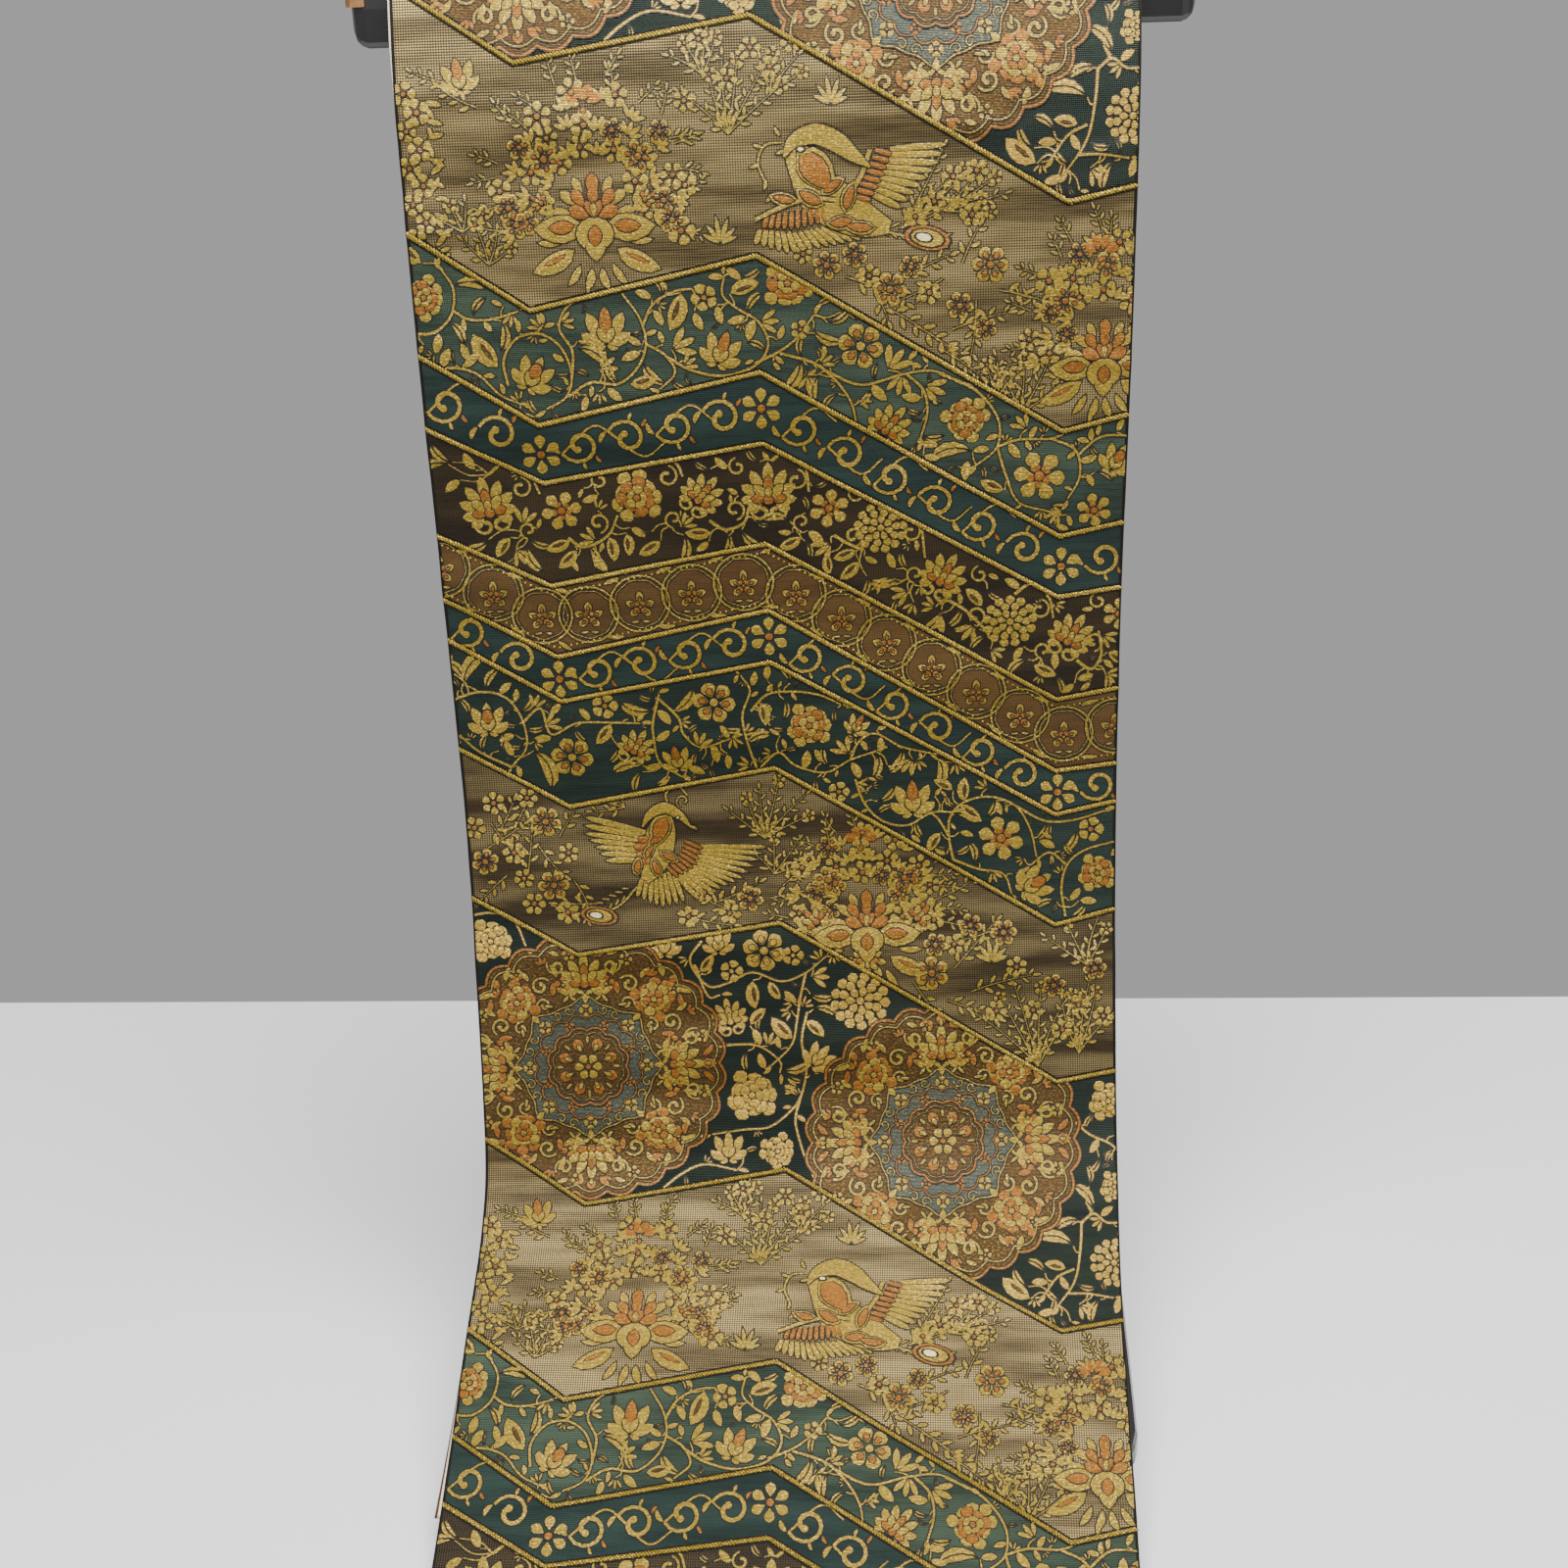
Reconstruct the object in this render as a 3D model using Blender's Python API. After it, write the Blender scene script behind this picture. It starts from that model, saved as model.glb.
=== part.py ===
"""Fukuro obi sash, folded in three over the rail of its black lacquered display stand.

Sizes are in millimetres and turned into metres when a mesh is made.  +Z is up,
the sash faces -Y and the rail runs along X.  The sash is drawn as one line seen
from the side, its face line, which runs over the rail, down the front and out
along the table.  Every layer of cloth is lofted at its own depth under that line.
"""
import math

import bmesh
import bpy
import numpy as np
from mathutils import Matrix, Vector

MM = 0.001
GAP = 0.3                     # between neighbouring pieces

# the sash
SASH_WIDTH = 310.0
FACE_THICK = 1.2              # brocade panel
LINING_THICK = 1.0            # plain panel sewn to its back
INNER_THICK = 3.6             # the two folded plies that the outer one hides
FACE_IN = FACE_THICK
LINING_OUT = FACE_IN + GAP
LINING_IN = LINING_OUT + LINING_THICK
INNER_OUT = LINING_IN + GAP
INNER_IN = INNER_OUT + INNER_THICK
ACROSS = 6                    # strips of faces across the width
SASH_AT_RAIL = -3.7           # centre of the sash on the rail

# the stand
RAIL_RADIUS = 18.3            # half-round top of the rail
RAIL_DEEP = 15.7              # from the centre of that round to the flat underside
RAIL_HALF = 176.8
RAIL_AT = (40.0, 640.0)       # y, z of the centre of the round
RAIL_CORNER = 2.5             # softened lower edges
RAIL_END = [(0.0, 5.0), (1.2, 2.6), (3.2, 1.0), (6.0, 0.0)]     # inset from the end, shrink
CAP_LONG = 6.5
CAP_PROUD = 2.0
CAP_EDGE = [(2.2, 0.0), (0.7, 0.9), (0.0, 2.4)]                 # inset from the end, shrink
CAP_UP = 0.6                  # the brass cap covers the rail's end above its centre line
SEAT_CUTTER = 60.0            # cube that steps the rail back for a cap
POST_AT = 138.0
POST_WIDE = 22.0
POST_DEEP = 28.0
BRACE_HIGH = 30.0
BRACE_DEEP = 14.0
BRACE_AT = 96.0
FOOT_WIDE = 38.0
FOOT_HALF = 186.0
FOOT_HIGH = 36.0
FOOT_NOSE = 15.0              # height of the foot at its two ends
FOOT_TAPER = 9.0              # how much narrower each side is at the ends
FOOT_FLAT = 34.0              # the top is level this far from the post's middle
FOOT_SINKS = 0.87             # share of the rest over which the top sinks to the nose
FOOT_STATIONS = [0.0, 0.2, 0.4, 0.55, 0.7, 0.85, 0.95, 0.985, 1.0]
FOOT_BLUNT = (0.97, 3.0, 4.0) # from this share out, each side and the top give way
FOOT_EDGE = 4.0               # softened upper edges

# the outer line of cloth round the rail
OVER_RADIUS = RAIL_RADIUS + GAP + INNER_IN
LEAVE_ANGLE = 64.0            # the stiff cloth leaves the rail here, in degrees from the top

# The face line below the rail: name, y, z, centre of the width, swing in degrees.
# The swing turns the width about Z, because the tail lies a little to the left.
FRONT_ROWS = [
    ("leaving the rail", 10.8, 637.0, -3.7, 0.0),
    ("under the rail", 5.8, 622.0, -3.8, 0.0),
    ("bow of the stiff cloth", 2.4, 605.0, -3.9, 0.0),
    ("upper hang", 0.6, 582.0, -4.0, 0.0),
    ("upper hang", -1.0, 552.0, -4.1, 0.0),
    ("upper hang", -1.8, 508.0, -4.2, 0.0),
    ("soft trough", -1.2, 460.0, -4.3, 0.0),
    ("soft ridge", 1.0, 412.0, -4.4, 0.0),
    ("middle hang", 1.2, 365.0, -4.4, 0.0),
    ("middle hang", 0.2, 312.0, -4.1, 0.0),
    ("lower hang", -3.2, 270.0, -3.9, 0.0),
    ("lower hang", -8.5, 236.0, -3.9, 0.0),
    ("leaning out", -15.0, 206.0, -4.2, 0.2),
    ("leaning out", -22.0, 181.0, -4.3, 0.4),
    ("leaning out", -28.5, 157.0, -4.4, 0.7),
    ("bend", -34.8, 134.0, -4.6, 1.0),
    ("bend", -42.0, 114.5, -4.9, 1.5),
    ("bend", -51.8, 98.0, -5.6, 2.2),
    ("bend", -64.5, 84.5, -6.9, 3.0),
    ("bend", -80.5, 73.5, -8.6, 3.7),
    ("swell", -98.5, 64.8, -10.2, 4.2),
    ("swell", -117.0, 56.5, -11.7, 4.5),
    ("slope", -134.0, 47.5, -13.0, 4.5),
    ("slope", -150.0, 38.8, -14.2, 4.5),
    ("slope", -166.0, 30.8, -15.4, 4.5),
    ("slope", -183.0, 23.2, -16.6, 4.5),
    ("slope", -199.0, 15.9, -17.8, 4.5),
    ("landing", -213.0, 9.7, -18.9, 4.5),
    ("landing", -229.0, 4.7, -20.1, 4.5),
    ("on the table", -247.0, LINING_IN, -21.5, 4.5),
    ("on the table", -263.0, LINING_IN, -22.7, 4.5),
    ("front end", -280.0, LINING_IN, -24.0, 4.5),
]

# The face line down the back of the rail: name, y, z.
BACK_ROWS = [
    ("back of the rail", RAIL_AT[0] + OVER_RADIUS + 0.6, 612.0),
    ("upper back", RAIL_AT[0] + OVER_RADIUS + 1.6, 540.0),
    ("middle back", RAIL_AT[0] + OVER_RADIUS + 0.8, 420.0),
    ("middle back", RAIL_AT[0] + OVER_RADIUS - 0.6, 290.0),
    ("lower back", RAIL_AT[0] + OVER_RADIUS - 1.0, 160.0),
    ("fold", RAIL_AT[0] + OVER_RADIUS - 0.4, 62.0),
]

# Where the face is cut into stretches, as heights on the way down or y on the way out.
SADDLE_BELOW = 6.0            # the stretch over the rail ends this far under its centre
PAST_RAIL = 60.0              # along the face, clear of the crest of the rail
HANG_END_Z = 190.0
BEND_END_Y = -108.0
INNER_END_Y = -195.0          # the hidden plies turn back here, under the tail
INNER_SLIP = 3.6              # how far the innermost ply has slipped left at its fold
SLIP_SHARE = (0.55, 1.0)      # of that, for the middle ply and the innermost one
FOLD_DROP = 9.0               # depth of the turned-under fold at the back
FOLD_RISE = 14.0              # how far it comes up again behind the other plies
FOLD_ROUND = 1.6              # rounding of the hidden plies where they turn back
PLY_EDGE = ((1.1, 0.02), (0.3, 0.2), (0.0, 0.5), (0.3, 0.8), (1.1, 0.98))   # inset, share of a ply

BLACK_LACQUER = ("black_lacquer", (0.012, 0.012, 0.013), 0.28, 0.0)
BRASS = ("brass_fitting", (0.60, 0.36, 0.17), 0.42, 0.9)
BROCADE = ("brocade_face", (0.36, 0.27, 0.11), 0.52, 0.2)
CREAM = ("cream_lining", (0.72, 0.66, 0.55), 0.75, 0.0)


def clear_scene():
    for item in list(bpy.data.objects):
        bpy.data.objects.remove(item, do_unlink=True)


def get_material(finish):
    name, colour, roughness, metallic = finish
    material = bpy.data.materials.get(name)
    if material is None:
        material = bpy.data.materials.new(name)
        material.use_nodes = True
        shader = material.node_tree.nodes["Principled BSDF"]
        shader.inputs["Base Color"].default_value = (*colour, 1.0)
        shader.inputs["Roughness"].default_value = roughness
        shader.inputs["Metallic"].default_value = metallic
    return material


def add_object(name, bm, finish, smooth_angle=30.0):
    bmesh.ops.recalc_face_normals(bm, faces=bm.faces)
    mesh = bpy.data.meshes.new(name)
    bm.to_mesh(mesh)
    bm.free()
    mesh.shade_smooth()
    mesh.set_sharp_from_angle(angle=math.radians(smooth_angle))
    item = bpy.data.objects.new(name, mesh)
    item.data.materials.append(get_material(finish))
    bpy.context.scene.collection.objects.link(item)
    return item


def close_between(bm, loops):
    """Walls from each loop to the next, and a face over the first and the last."""
    for lower, upper in zip(loops, loops[1:]):
        for k in range(len(lower)):
            n = (k + 1) % len(lower)
            bm.faces.new((lower[k], lower[n], upper[n], upper[k]))
    bm.faces.new(loops[0])
    bm.faces.new(loops[-1])


# ---------------------------------------------------------------- face line

def catmull_rom(rows, steps):
    """Points on a smooth curve through every row, `steps` to each interval."""
    points = np.array(rows, dtype=float)
    before = 2.0 * points[0] - points[1]
    after = 2.0 * points[-1] - points[-2]
    padded = np.vstack([before, points, after])
    curve = []
    for k in range(1, len(padded) - 2):
        a, b, c, d = padded[k - 1:k + 3]
        for t in np.arange(steps) / steps:
            curve.append(0.5 * (2.0 * b + (c - a) * t + (2.0 * a - 5.0 * b + 4.0 * c - d) * t ** 2
                                + (3.0 * b - a - 3.0 * c + d) * t ** 3))
    curve.append(padded[-2])
    return np.array(curve)


def over_rail(first, last, steps):
    """Face line on the rail between two angles from the top, positive to the front."""
    rows = []
    for angle in np.radians(np.linspace(first, last, steps + 1)):
        rows.append((RAIL_AT[0] - OVER_RADIUS * math.sin(angle),
                     RAIL_AT[1] + OVER_RADIUS * math.cos(angle), SASH_AT_RAIL, 0.0))
    return rows


def make_face_line():
    """The whole line from the fold at the back to the front end.

    Columns: distance from the crest of the rail, y, z, centre x, swing.
    """
    back = [(y, z, SASH_AT_RAIL, 0.0) for _, y, z in reversed(BACK_ROWS)]
    front = [row[1:] for row in FRONT_ROWS]
    rows = back + over_rail(-90.0, LEAVE_ANGLE, 10) + front
    line = catmull_rom(rows, 4)
    line[:, 1] = np.maximum(line[:, 1], LINING_IN)      # the lining rests on the table
    steps = np.linalg.norm(np.diff(line[:, :2], axis=0), axis=1)
    along = np.concatenate([[0.0], np.cumsum(steps)])
    crest = along[int(np.argmax(line[:, 1]))]
    return np.column_stack([along - crest, line])


class FaceLine:
    """Turns a place on the cloth (along, across, depth) into a point in space."""

    def __init__(self):
        self.table = make_face_line()
        slope = np.gradient(self.table[:, 1:3], self.table[:, 0], axis=0)
        slope /= np.linalg.norm(slope, axis=1)[:, None]
        # the way in from the face: the tangent turned a quarter, rail side
        self.inward = np.column_stack([-slope[:, 1], slope[:, 0]])

    def at(self, along, column):
        return float(np.interp(along, self.table[:, 0], self.table[:, column]))

    def point(self, along, across, depth):
        swing = math.radians(self.at(along, 4))
        offset = across - SASH_WIDTH / 2.0
        in_y = float(np.interp(along, self.table[:, 0], self.inward[:, 0]))
        in_z = float(np.interp(along, self.table[:, 0], self.inward[:, 1]))
        x = self.at(along, 3) + offset * math.cos(swing)
        y = self.at(along, 1) - offset * math.sin(swing) + in_y * depth
        return Vector((x, y, self.at(along, 2) + in_z * depth)) * MM

    def along_at_height(self, z):
        front = self.table[self.table[:, 0] > PAST_RAIL]
        return float(np.interp(-z, -front[:, 2], front[:, 0]))

    def along_at_y(self, y):
        front = self.table[self.table[:, 2] < HANG_END_Z]
        front = front[front[:, 0] > PAST_RAIL]
        return float(np.interp(-y, -front[:, 1], front[:, 0]))

    def stations(self, first, last, turn=7.0, longest=48.0):
        """Distances from first to last: close together where the line bends."""
        marks = [first]
        previous = None
        for along, in_y, in_z in zip(self.table[:, 0], self.inward[:, 0], self.inward[:, 1]):
            if along <= first + 1.0 or along >= last - 1.0:
                continue
            heading = math.degrees(math.atan2(in_z, in_y))
            if previous is None:
                previous = heading
            bent = abs(heading - previous) >= turn
            if bent or along - marks[-1] >= longest:
                marks.append(float(along))
                previous = heading
        marks.append(last)
        return marks


def wall_section(outer, inner):
    """Closed outline of a wall: (across, depth, share of the slip) all the way round."""
    columns = np.linspace(0.0, SASH_WIDTH, ACROSS + 1)
    front = [(u, outer, 0.0) for u in columns]
    return front + [(u, inner, 0.0) for u in reversed(columns)]


def plies_section():
    """Outline of the two hidden plies: rounded edges with a groove between them."""
    half = INNER_THICK / 2.0
    left = []
    right = []
    for ply, share in enumerate(SLIP_SHARE):
        top = INNER_OUT + ply * half
        for inset, part in PLY_EDGE:
            left.append((inset, top + part * half, share))
            right.append((SASH_WIDTH - inset, top + part * half, share))
    columns = np.linspace(0.0, SASH_WIDTH, ACROSS + 1)[1:-1]
    upper = [(u, INNER_OUT, SLIP_SHARE[0]) for u in columns]
    lower = [(u, INNER_IN, SLIP_SHARE[1]) for u in reversed(columns)]
    return list(reversed(left)) + upper + right + lower


def loft_cloth(name, line, section, marks, finish, slip=None, round_end=0.0):
    """Loft a section along the face line; round_end closes the last end softly."""
    middle = sum(row[1] for row in section) / len(section)
    rows = [(along, 1.0) for along in marks]
    if round_end:
        end = marks[-1]
        rows = rows[:-1] + [(end - round_end, 1.0), (end - 0.4 * round_end, 0.8), (end, 0.35)]
    bm = bmesh.new()
    loops = []
    for along, squeeze in rows:
        left = slip(along) if slip else 0.0
        loops.append([bm.verts.new(line.point(along, u - share * left,
                                              middle + (d - middle) * squeeze))
                      for u, d, share in section])
    close_between(bm, loops)
    return add_object(name, bm, finish)


def build_sash(line):
    saddle_front = line.along_at_height(RAIL_AT[1] - SADDLE_BELOW)
    saddle_back = -OVER_RADIUS * math.pi / 2.0 - SADDLE_BELOW
    back_end = line.table[0, 0]
    hang_end = line.along_at_height(HANG_END_Z)
    bend_end = line.along_at_y(BEND_END_Y)
    front_end = line.table[-1, 0]
    inner_end = line.along_at_y(INNER_END_Y)

    stretches = [
        ("back_hang", back_end, saddle_back),
        ("saddle", saddle_back, saddle_front),
        ("front_hang", saddle_front, hang_end),
        ("front_bend", hang_end, bend_end),
        ("front_tail", bend_end, front_end),
    ]
    face = wall_section(0.0, FACE_IN)
    lining = wall_section(LINING_OUT, LINING_IN)
    for name, first, last in stretches:
        first_cut = first + (GAP / 2.0 if first != back_end else 0.0)
        last_cut = last - (GAP / 2.0 if last != front_end else 0.0)
        marks = line.stations(first_cut, last_cut)
        loft_cloth("face_" + name, line, face, marks, BROCADE)
        loft_cloth("lining_" + name, line, lining, marks, CREAM)

    def slip(along):
        return INNER_SLIP * max(0.0, (along - bend_end) / (inner_end - bend_end))

    plies = plies_section()
    inner = [
        ("inner_back", back_end, saddle_back),
        ("inner_saddle", saddle_back, saddle_front),
        ("inner_front_hang", saddle_front, hang_end),
        ("inner_front_bend", hang_end, bend_end),
        ("inner_front_fold", bend_end, inner_end),
    ]
    for name, first, last in inner:
        first_cut = first + (GAP / 2.0 if first != back_end else 0.0)
        last_cut = last - (GAP / 2.0 if last != inner_end else 0.0)
        marks = line.stations(first_cut, last_cut)
        rounding = FOLD_ROUND if last == inner_end else 0.0
        loft_cloth(name, line, plies, marks, CREAM, slip, rounding)


def build_back_fold(line):
    """The face turned under and up again at the bottom of the back."""
    y_out, z_top = line.table[0, 1], line.table[0, 2] - GAP
    y_in = y_out - INNER_IN - GAP - FACE_THICK
    outer_r = (y_out - y_in) / 2.0
    y_mid = (y_out + y_in) / 2.0
    z_mid = z_top - FOLD_DROP + outer_r
    outline = []
    angles = np.radians(np.linspace(0.0, 180.0, 9))
    outline.append((y_out, z_top))
    outline += [(y_mid + outer_r * math.cos(a), z_mid - outer_r * math.sin(a)) for a in angles]
    outline.append((y_in, z_top + FOLD_RISE))
    outline.append((y_in + FACE_THICK, z_top + FOLD_RISE))
    inner_r = outer_r - FACE_THICK
    outline += [(y_mid - inner_r * math.cos(a), z_mid - inner_r * math.sin(a)) for a in angles]
    outline.append((y_out - FACE_THICK, z_top))
    left = SASH_AT_RAIL - SASH_WIDTH / 2.0
    extrude_x("face_back_fold", outline, left, left + SASH_WIDTH, BROCADE)


# ---------------------------------------------------------------- stand

def extrude_x(name, outline, x_low, x_high, finish):
    """A solid with one (y, z) outline between two x places."""
    bm = bmesh.new()
    ends = []
    for x in (x_low, x_high):
        ends.append([bm.verts.new(Vector((x, y, z)) * MM) for y, z in outline])
    close_between(bm, ends)
    return add_object(name, bm, finish)


def rail_outline(shrink):
    """Half-round top, straight sides and a flat underside with softened corners."""
    radius = RAIL_RADIUS - shrink
    y_mid, z_mid = RAIL_AT
    outline = [(y_mid + radius * math.cos(a), z_mid + radius * math.sin(a))
               for a in np.radians(np.linspace(0.0, 180.0, 13))]
    low = z_mid - RAIL_DEEP + shrink
    corner, cut = RAIL_CORNER, RAIL_CORNER / 3.0
    outline += [(y_mid - radius, low + corner), (y_mid - radius + cut, low + cut),
                (y_mid - radius + corner, low), (y_mid + radius - corner, low),
                (y_mid + radius - cut, low + cut), (y_mid + radius, low + corner)]
    return outline


def build_rail():
    """The rail, its rounded ends stepped back above the centre line for the brass caps."""
    stations = [(-RAIL_HALF + inset, shrink) for inset, shrink in RAIL_END]
    stations += [(-x, shrink) for x, shrink in reversed(stations)]
    bm = bmesh.new()
    loops = []
    for x, shrink in stations:
        loops.append([bm.verts.new(Vector((x, y, z)) * MM)
                      for y, z in rail_outline(shrink)])
    close_between(bm, loops)
    rail = add_object("rail", bm, BLACK_LACQUER)

    for side in (-1, 1):
        x_mid = side * (RAIL_HALF - CAP_LONG + SEAT_CUTTER / 2.0)
        cutter = make_box("cap_seat", (x_mid, RAIL_AT[0], RAIL_AT[1] + CAP_UP + SEAT_CUTTER / 2.0),
                          (SEAT_CUTTER, SEAT_CUTTER, SEAT_CUTTER), BLACK_LACQUER, bevel=0.0)
        cutter.hide_render = True
        cutter.display_type = "WIRE"
        cut = rail.modifiers.new("seat", "BOOLEAN")
        cut.operation = "DIFFERENCE"
        cut.object = cutter


def build_caps():
    """Half-round brass caps on the two ends of the rail."""
    for side, name in ((-1, "cap_left"), (1, "cap_right")):
        inner_x = RAIL_HALF - CAP_LONG + GAP
        outer_x = RAIL_HALF + CAP_PROUD
        floor = RAIL_AT[1] + CAP_UP + GAP
        steps = [(inner_x, 0.0)] + [(outer_x - inset, shrink) for inset, shrink in CAP_EDGE]
        bm = bmesh.new()
        loops = []
        for x, shrink in steps:
            radius = RAIL_RADIUS - shrink
            ring = [(RAIL_AT[0] + radius * math.cos(a), floor + radius * math.sin(a))
                    for a in np.radians(np.linspace(0.0, 180.0, 13))]
            loops.append([bm.verts.new(Vector((side * x, y, z)) * MM) for y, z in ring])
        close_between(bm, loops)
        add_object(name, bm, BRASS)


def make_box(name, centre, size, finish, bevel=1.5):
    bm = bmesh.new()
    bmesh.ops.create_cube(bm, size=1.0)
    bmesh.ops.scale(bm, vec=Vector(size) * MM, verts=bm.verts)
    bmesh.ops.translate(bm, vec=Vector(centre) * MM, verts=bm.verts)
    item = add_object(name, bm, finish)
    if bevel:
        soften = item.modifiers.new("soft edges", "BEVEL")
        soften.width = bevel * MM
        soften.segments = 2
        soften.limit_method = "ANGLE"
    return item


def foot_height(reach):
    """Top of the foot at a distance from its middle: flat, then a long ogee to the nose."""
    t = min(max((abs(reach) - FOOT_FLAT) / (FOOT_HALF - FOOT_FLAT), 0.0), 1.0)
    ease = 0.5 - 0.5 * math.cos(math.pi * min(t / FOOT_SINKS, 1.0))
    return FOOT_HIGH + (FOOT_NOSE - FOOT_HIGH) * ease


def build_foot(name, x_mid):
    """A boat-shaped foot: it narrows and sinks towards its two ends."""
    reaches = [-r for r in reversed(FOOT_STATIONS)] + FOOT_STATIONS[1:]
    blunt_from, side_gives, top_gives = FOOT_BLUNT
    bm = bmesh.new()
    loops = []
    for r in reaches:
        y = RAIL_AT[0] + r * FOOT_HALF
        half = FOOT_WIDE / 2.0 - FOOT_TAPER * abs(r) ** 2.2
        high = foot_height(r * FOOT_HALF)
        blunt = max(0.0, (abs(r) - blunt_from) / (1.0 - blunt_from))
        half -= side_gives * blunt
        high -= top_gives * blunt
        soft = min(FOOT_EDGE, high * 0.3)
        ring = [(-half, 0.0), (half, 0.0), (half, high - soft), (half - 0.3 * soft,
                high - 0.3 * soft), (half - soft, high), (-half + soft, high),
                (-half + 0.3 * soft, high - 0.3 * soft), (-half, high - soft)]
        loops.append([bm.verts.new(Vector((x_mid + x, y, z)) * MM) for x, z in ring])
    close_between(bm, loops)
    add_object(name, bm, BLACK_LACQUER)


def build_stand():
    build_rail()
    build_caps()
    rail_low = RAIL_AT[1] - RAIL_DEEP
    post_low = FOOT_HIGH + GAP
    post_high = rail_low - GAP
    for side, name in ((-1, "left"), (1, "right")):
        x_mid = side * POST_AT
        make_box("post_" + name, (x_mid, RAIL_AT[0], (post_low + post_high) / 2.0),
                 (POST_WIDE, POST_DEEP, post_high - post_low), BLACK_LACQUER)
        build_foot("foot_" + name, x_mid)
    brace = 2.0 * (POST_AT - POST_WIDE / 2.0 - GAP)
    make_box("brace", (0.0, RAIL_AT[0], BRACE_AT), (brace, BRACE_DEEP, BRACE_HIGH),
             BLACK_LACQUER)


def move_origin_under_middle():
    """Put the origin at the bottom centre of the box round the whole object."""
    solids = [item for item in bpy.data.objects if not item.hide_render]
    corners = [vertex.co for item in solids for vertex in item.data.vertices]
    low = Vector([min(c[k] for c in corners) for k in range(3)])
    high = Vector([max(c[k] for c in corners) for k in range(3)])
    middle = Vector(((low.x + high.x) / 2.0, (low.y + high.y) / 2.0, low.z))
    for item in bpy.data.objects:
        item.data.transform(Matrix.Translation(-middle))


def main():
    clear_scene()
    line = FaceLine()
    build_sash(line)
    build_back_fold(line)
    build_stand()
    move_origin_under_middle()


main()
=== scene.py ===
import math
import random

import bmesh
import bpy
import numpy as np
from mathutils import Matrix, Vector


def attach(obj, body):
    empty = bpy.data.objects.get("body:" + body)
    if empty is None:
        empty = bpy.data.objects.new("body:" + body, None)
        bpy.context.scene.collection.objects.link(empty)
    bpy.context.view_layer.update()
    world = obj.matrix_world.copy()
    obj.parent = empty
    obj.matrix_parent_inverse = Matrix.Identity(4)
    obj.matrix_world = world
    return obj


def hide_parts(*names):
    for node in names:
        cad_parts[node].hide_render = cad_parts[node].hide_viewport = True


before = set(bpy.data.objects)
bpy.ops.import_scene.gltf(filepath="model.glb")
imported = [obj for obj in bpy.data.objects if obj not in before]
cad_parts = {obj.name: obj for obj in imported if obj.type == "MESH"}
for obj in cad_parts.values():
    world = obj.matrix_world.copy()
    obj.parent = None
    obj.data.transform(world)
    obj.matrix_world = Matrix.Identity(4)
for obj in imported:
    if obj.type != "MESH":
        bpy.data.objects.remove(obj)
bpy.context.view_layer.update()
mm = 0.001

# The way the sash hangs

# The face line runs up the back, over the rail, down the front and out along the table.
sash = {
    "width": 310.0,
    "wall": 1.15,             # brocade panel
    "crestAt": -45.0,         # pattern place that lies on the crest of the rail
    "repeat": 537.0,          # length of the woven pattern
    "edgeIn": 0.9,            # figures stop this short of the selvedges
}

railTop = {"radius": 25.8, "y": 40.0, "z": 640.0, "leaves": 64.0}
rowShift = 33.08              # the stand's own middle to the frame's, along Y

# y, z of the face, centre of the width, swing of the width in degrees
frontRows = [
    ("leaving the rail", 10.8, 637.0, -3.7, 0.0),
    ("under the rail", 5.8, 622.0, -3.8, 0.0),
    ("bow of the stiff cloth", 2.4, 605.0, -3.9, 0.0),
    ("upper hang", 0.6, 582.0, -4.0, 0.0),
    ("upper hang", -1.0, 552.0, -4.1, 0.0),
    ("upper hang", -1.8, 508.0, -4.2, 0.0),
    ("soft trough", -1.2, 460.0, -4.3, 0.0),
    ("soft ridge", 1.0, 412.0, -4.4, 0.0),
    ("middle hang", 1.2, 365.0, -4.4, 0.0),
    ("middle hang", 0.2, 312.0, -4.1, 0.0),
    ("lower hang", -3.2, 270.0, -3.9, 0.0),
    ("lower hang", -8.5, 236.0, -3.9, 0.0),
    ("leaning out", -15.0, 206.0, -4.2, 0.2),
    ("leaning out", -22.0, 181.0, -4.3, 0.4),
    ("leaning out", -28.5, 157.0, -4.4, 0.7),
    ("bend", -34.8, 134.0, -4.6, 1.0),
    ("bend", -42.0, 114.5, -4.9, 1.5),
    ("bend", -51.8, 98.0, -5.6, 2.2),
    ("bend", -64.5, 84.5, -6.9, 3.0),
    ("bend", -80.5, 73.5, -8.6, 3.7),
    ("swell", -98.5, 64.8, -10.2, 4.2),
    ("swell", -117.0, 56.5, -11.7, 4.5),
    ("slope", -134.0, 47.5, -13.0, 4.5),
    ("slope", -150.0, 38.8, -14.2, 4.5),
    ("slope", -166.0, 30.8, -15.4, 4.5),
    ("slope", -183.0, 23.2, -16.6, 4.5),
    ("slope", -199.0, 15.9, -17.8, 4.5),
    ("landing", -213.0, 9.7, -18.9, 4.5),
    ("landing", -229.0, 4.9, -20.1, 4.5),
    ("on the table", -247.0, 2.7, -21.5, 4.5),
    ("on the table", -263.0, 2.6, -22.7, 4.5),
    ("front end", -280.0, 2.6, -24.0, 4.5),
]

# y and z down the back; the last rows turn under and up again
backRows = [
    ("back of the rail", 66.4, 612.0),
    ("upper back", 67.4, 540.0),
    ("middle back", 66.6, 420.0),
    ("middle back", 65.2, 290.0),
    ("lower back", 64.8, 160.0),
    ("above the fold", 65.4, 62.0),
]
backFold = {"radius": 4.0, "z": 57.0, "upTo": 75.0}
lowest = 2.6                  # height of the face where the cloth lies on the table

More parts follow.
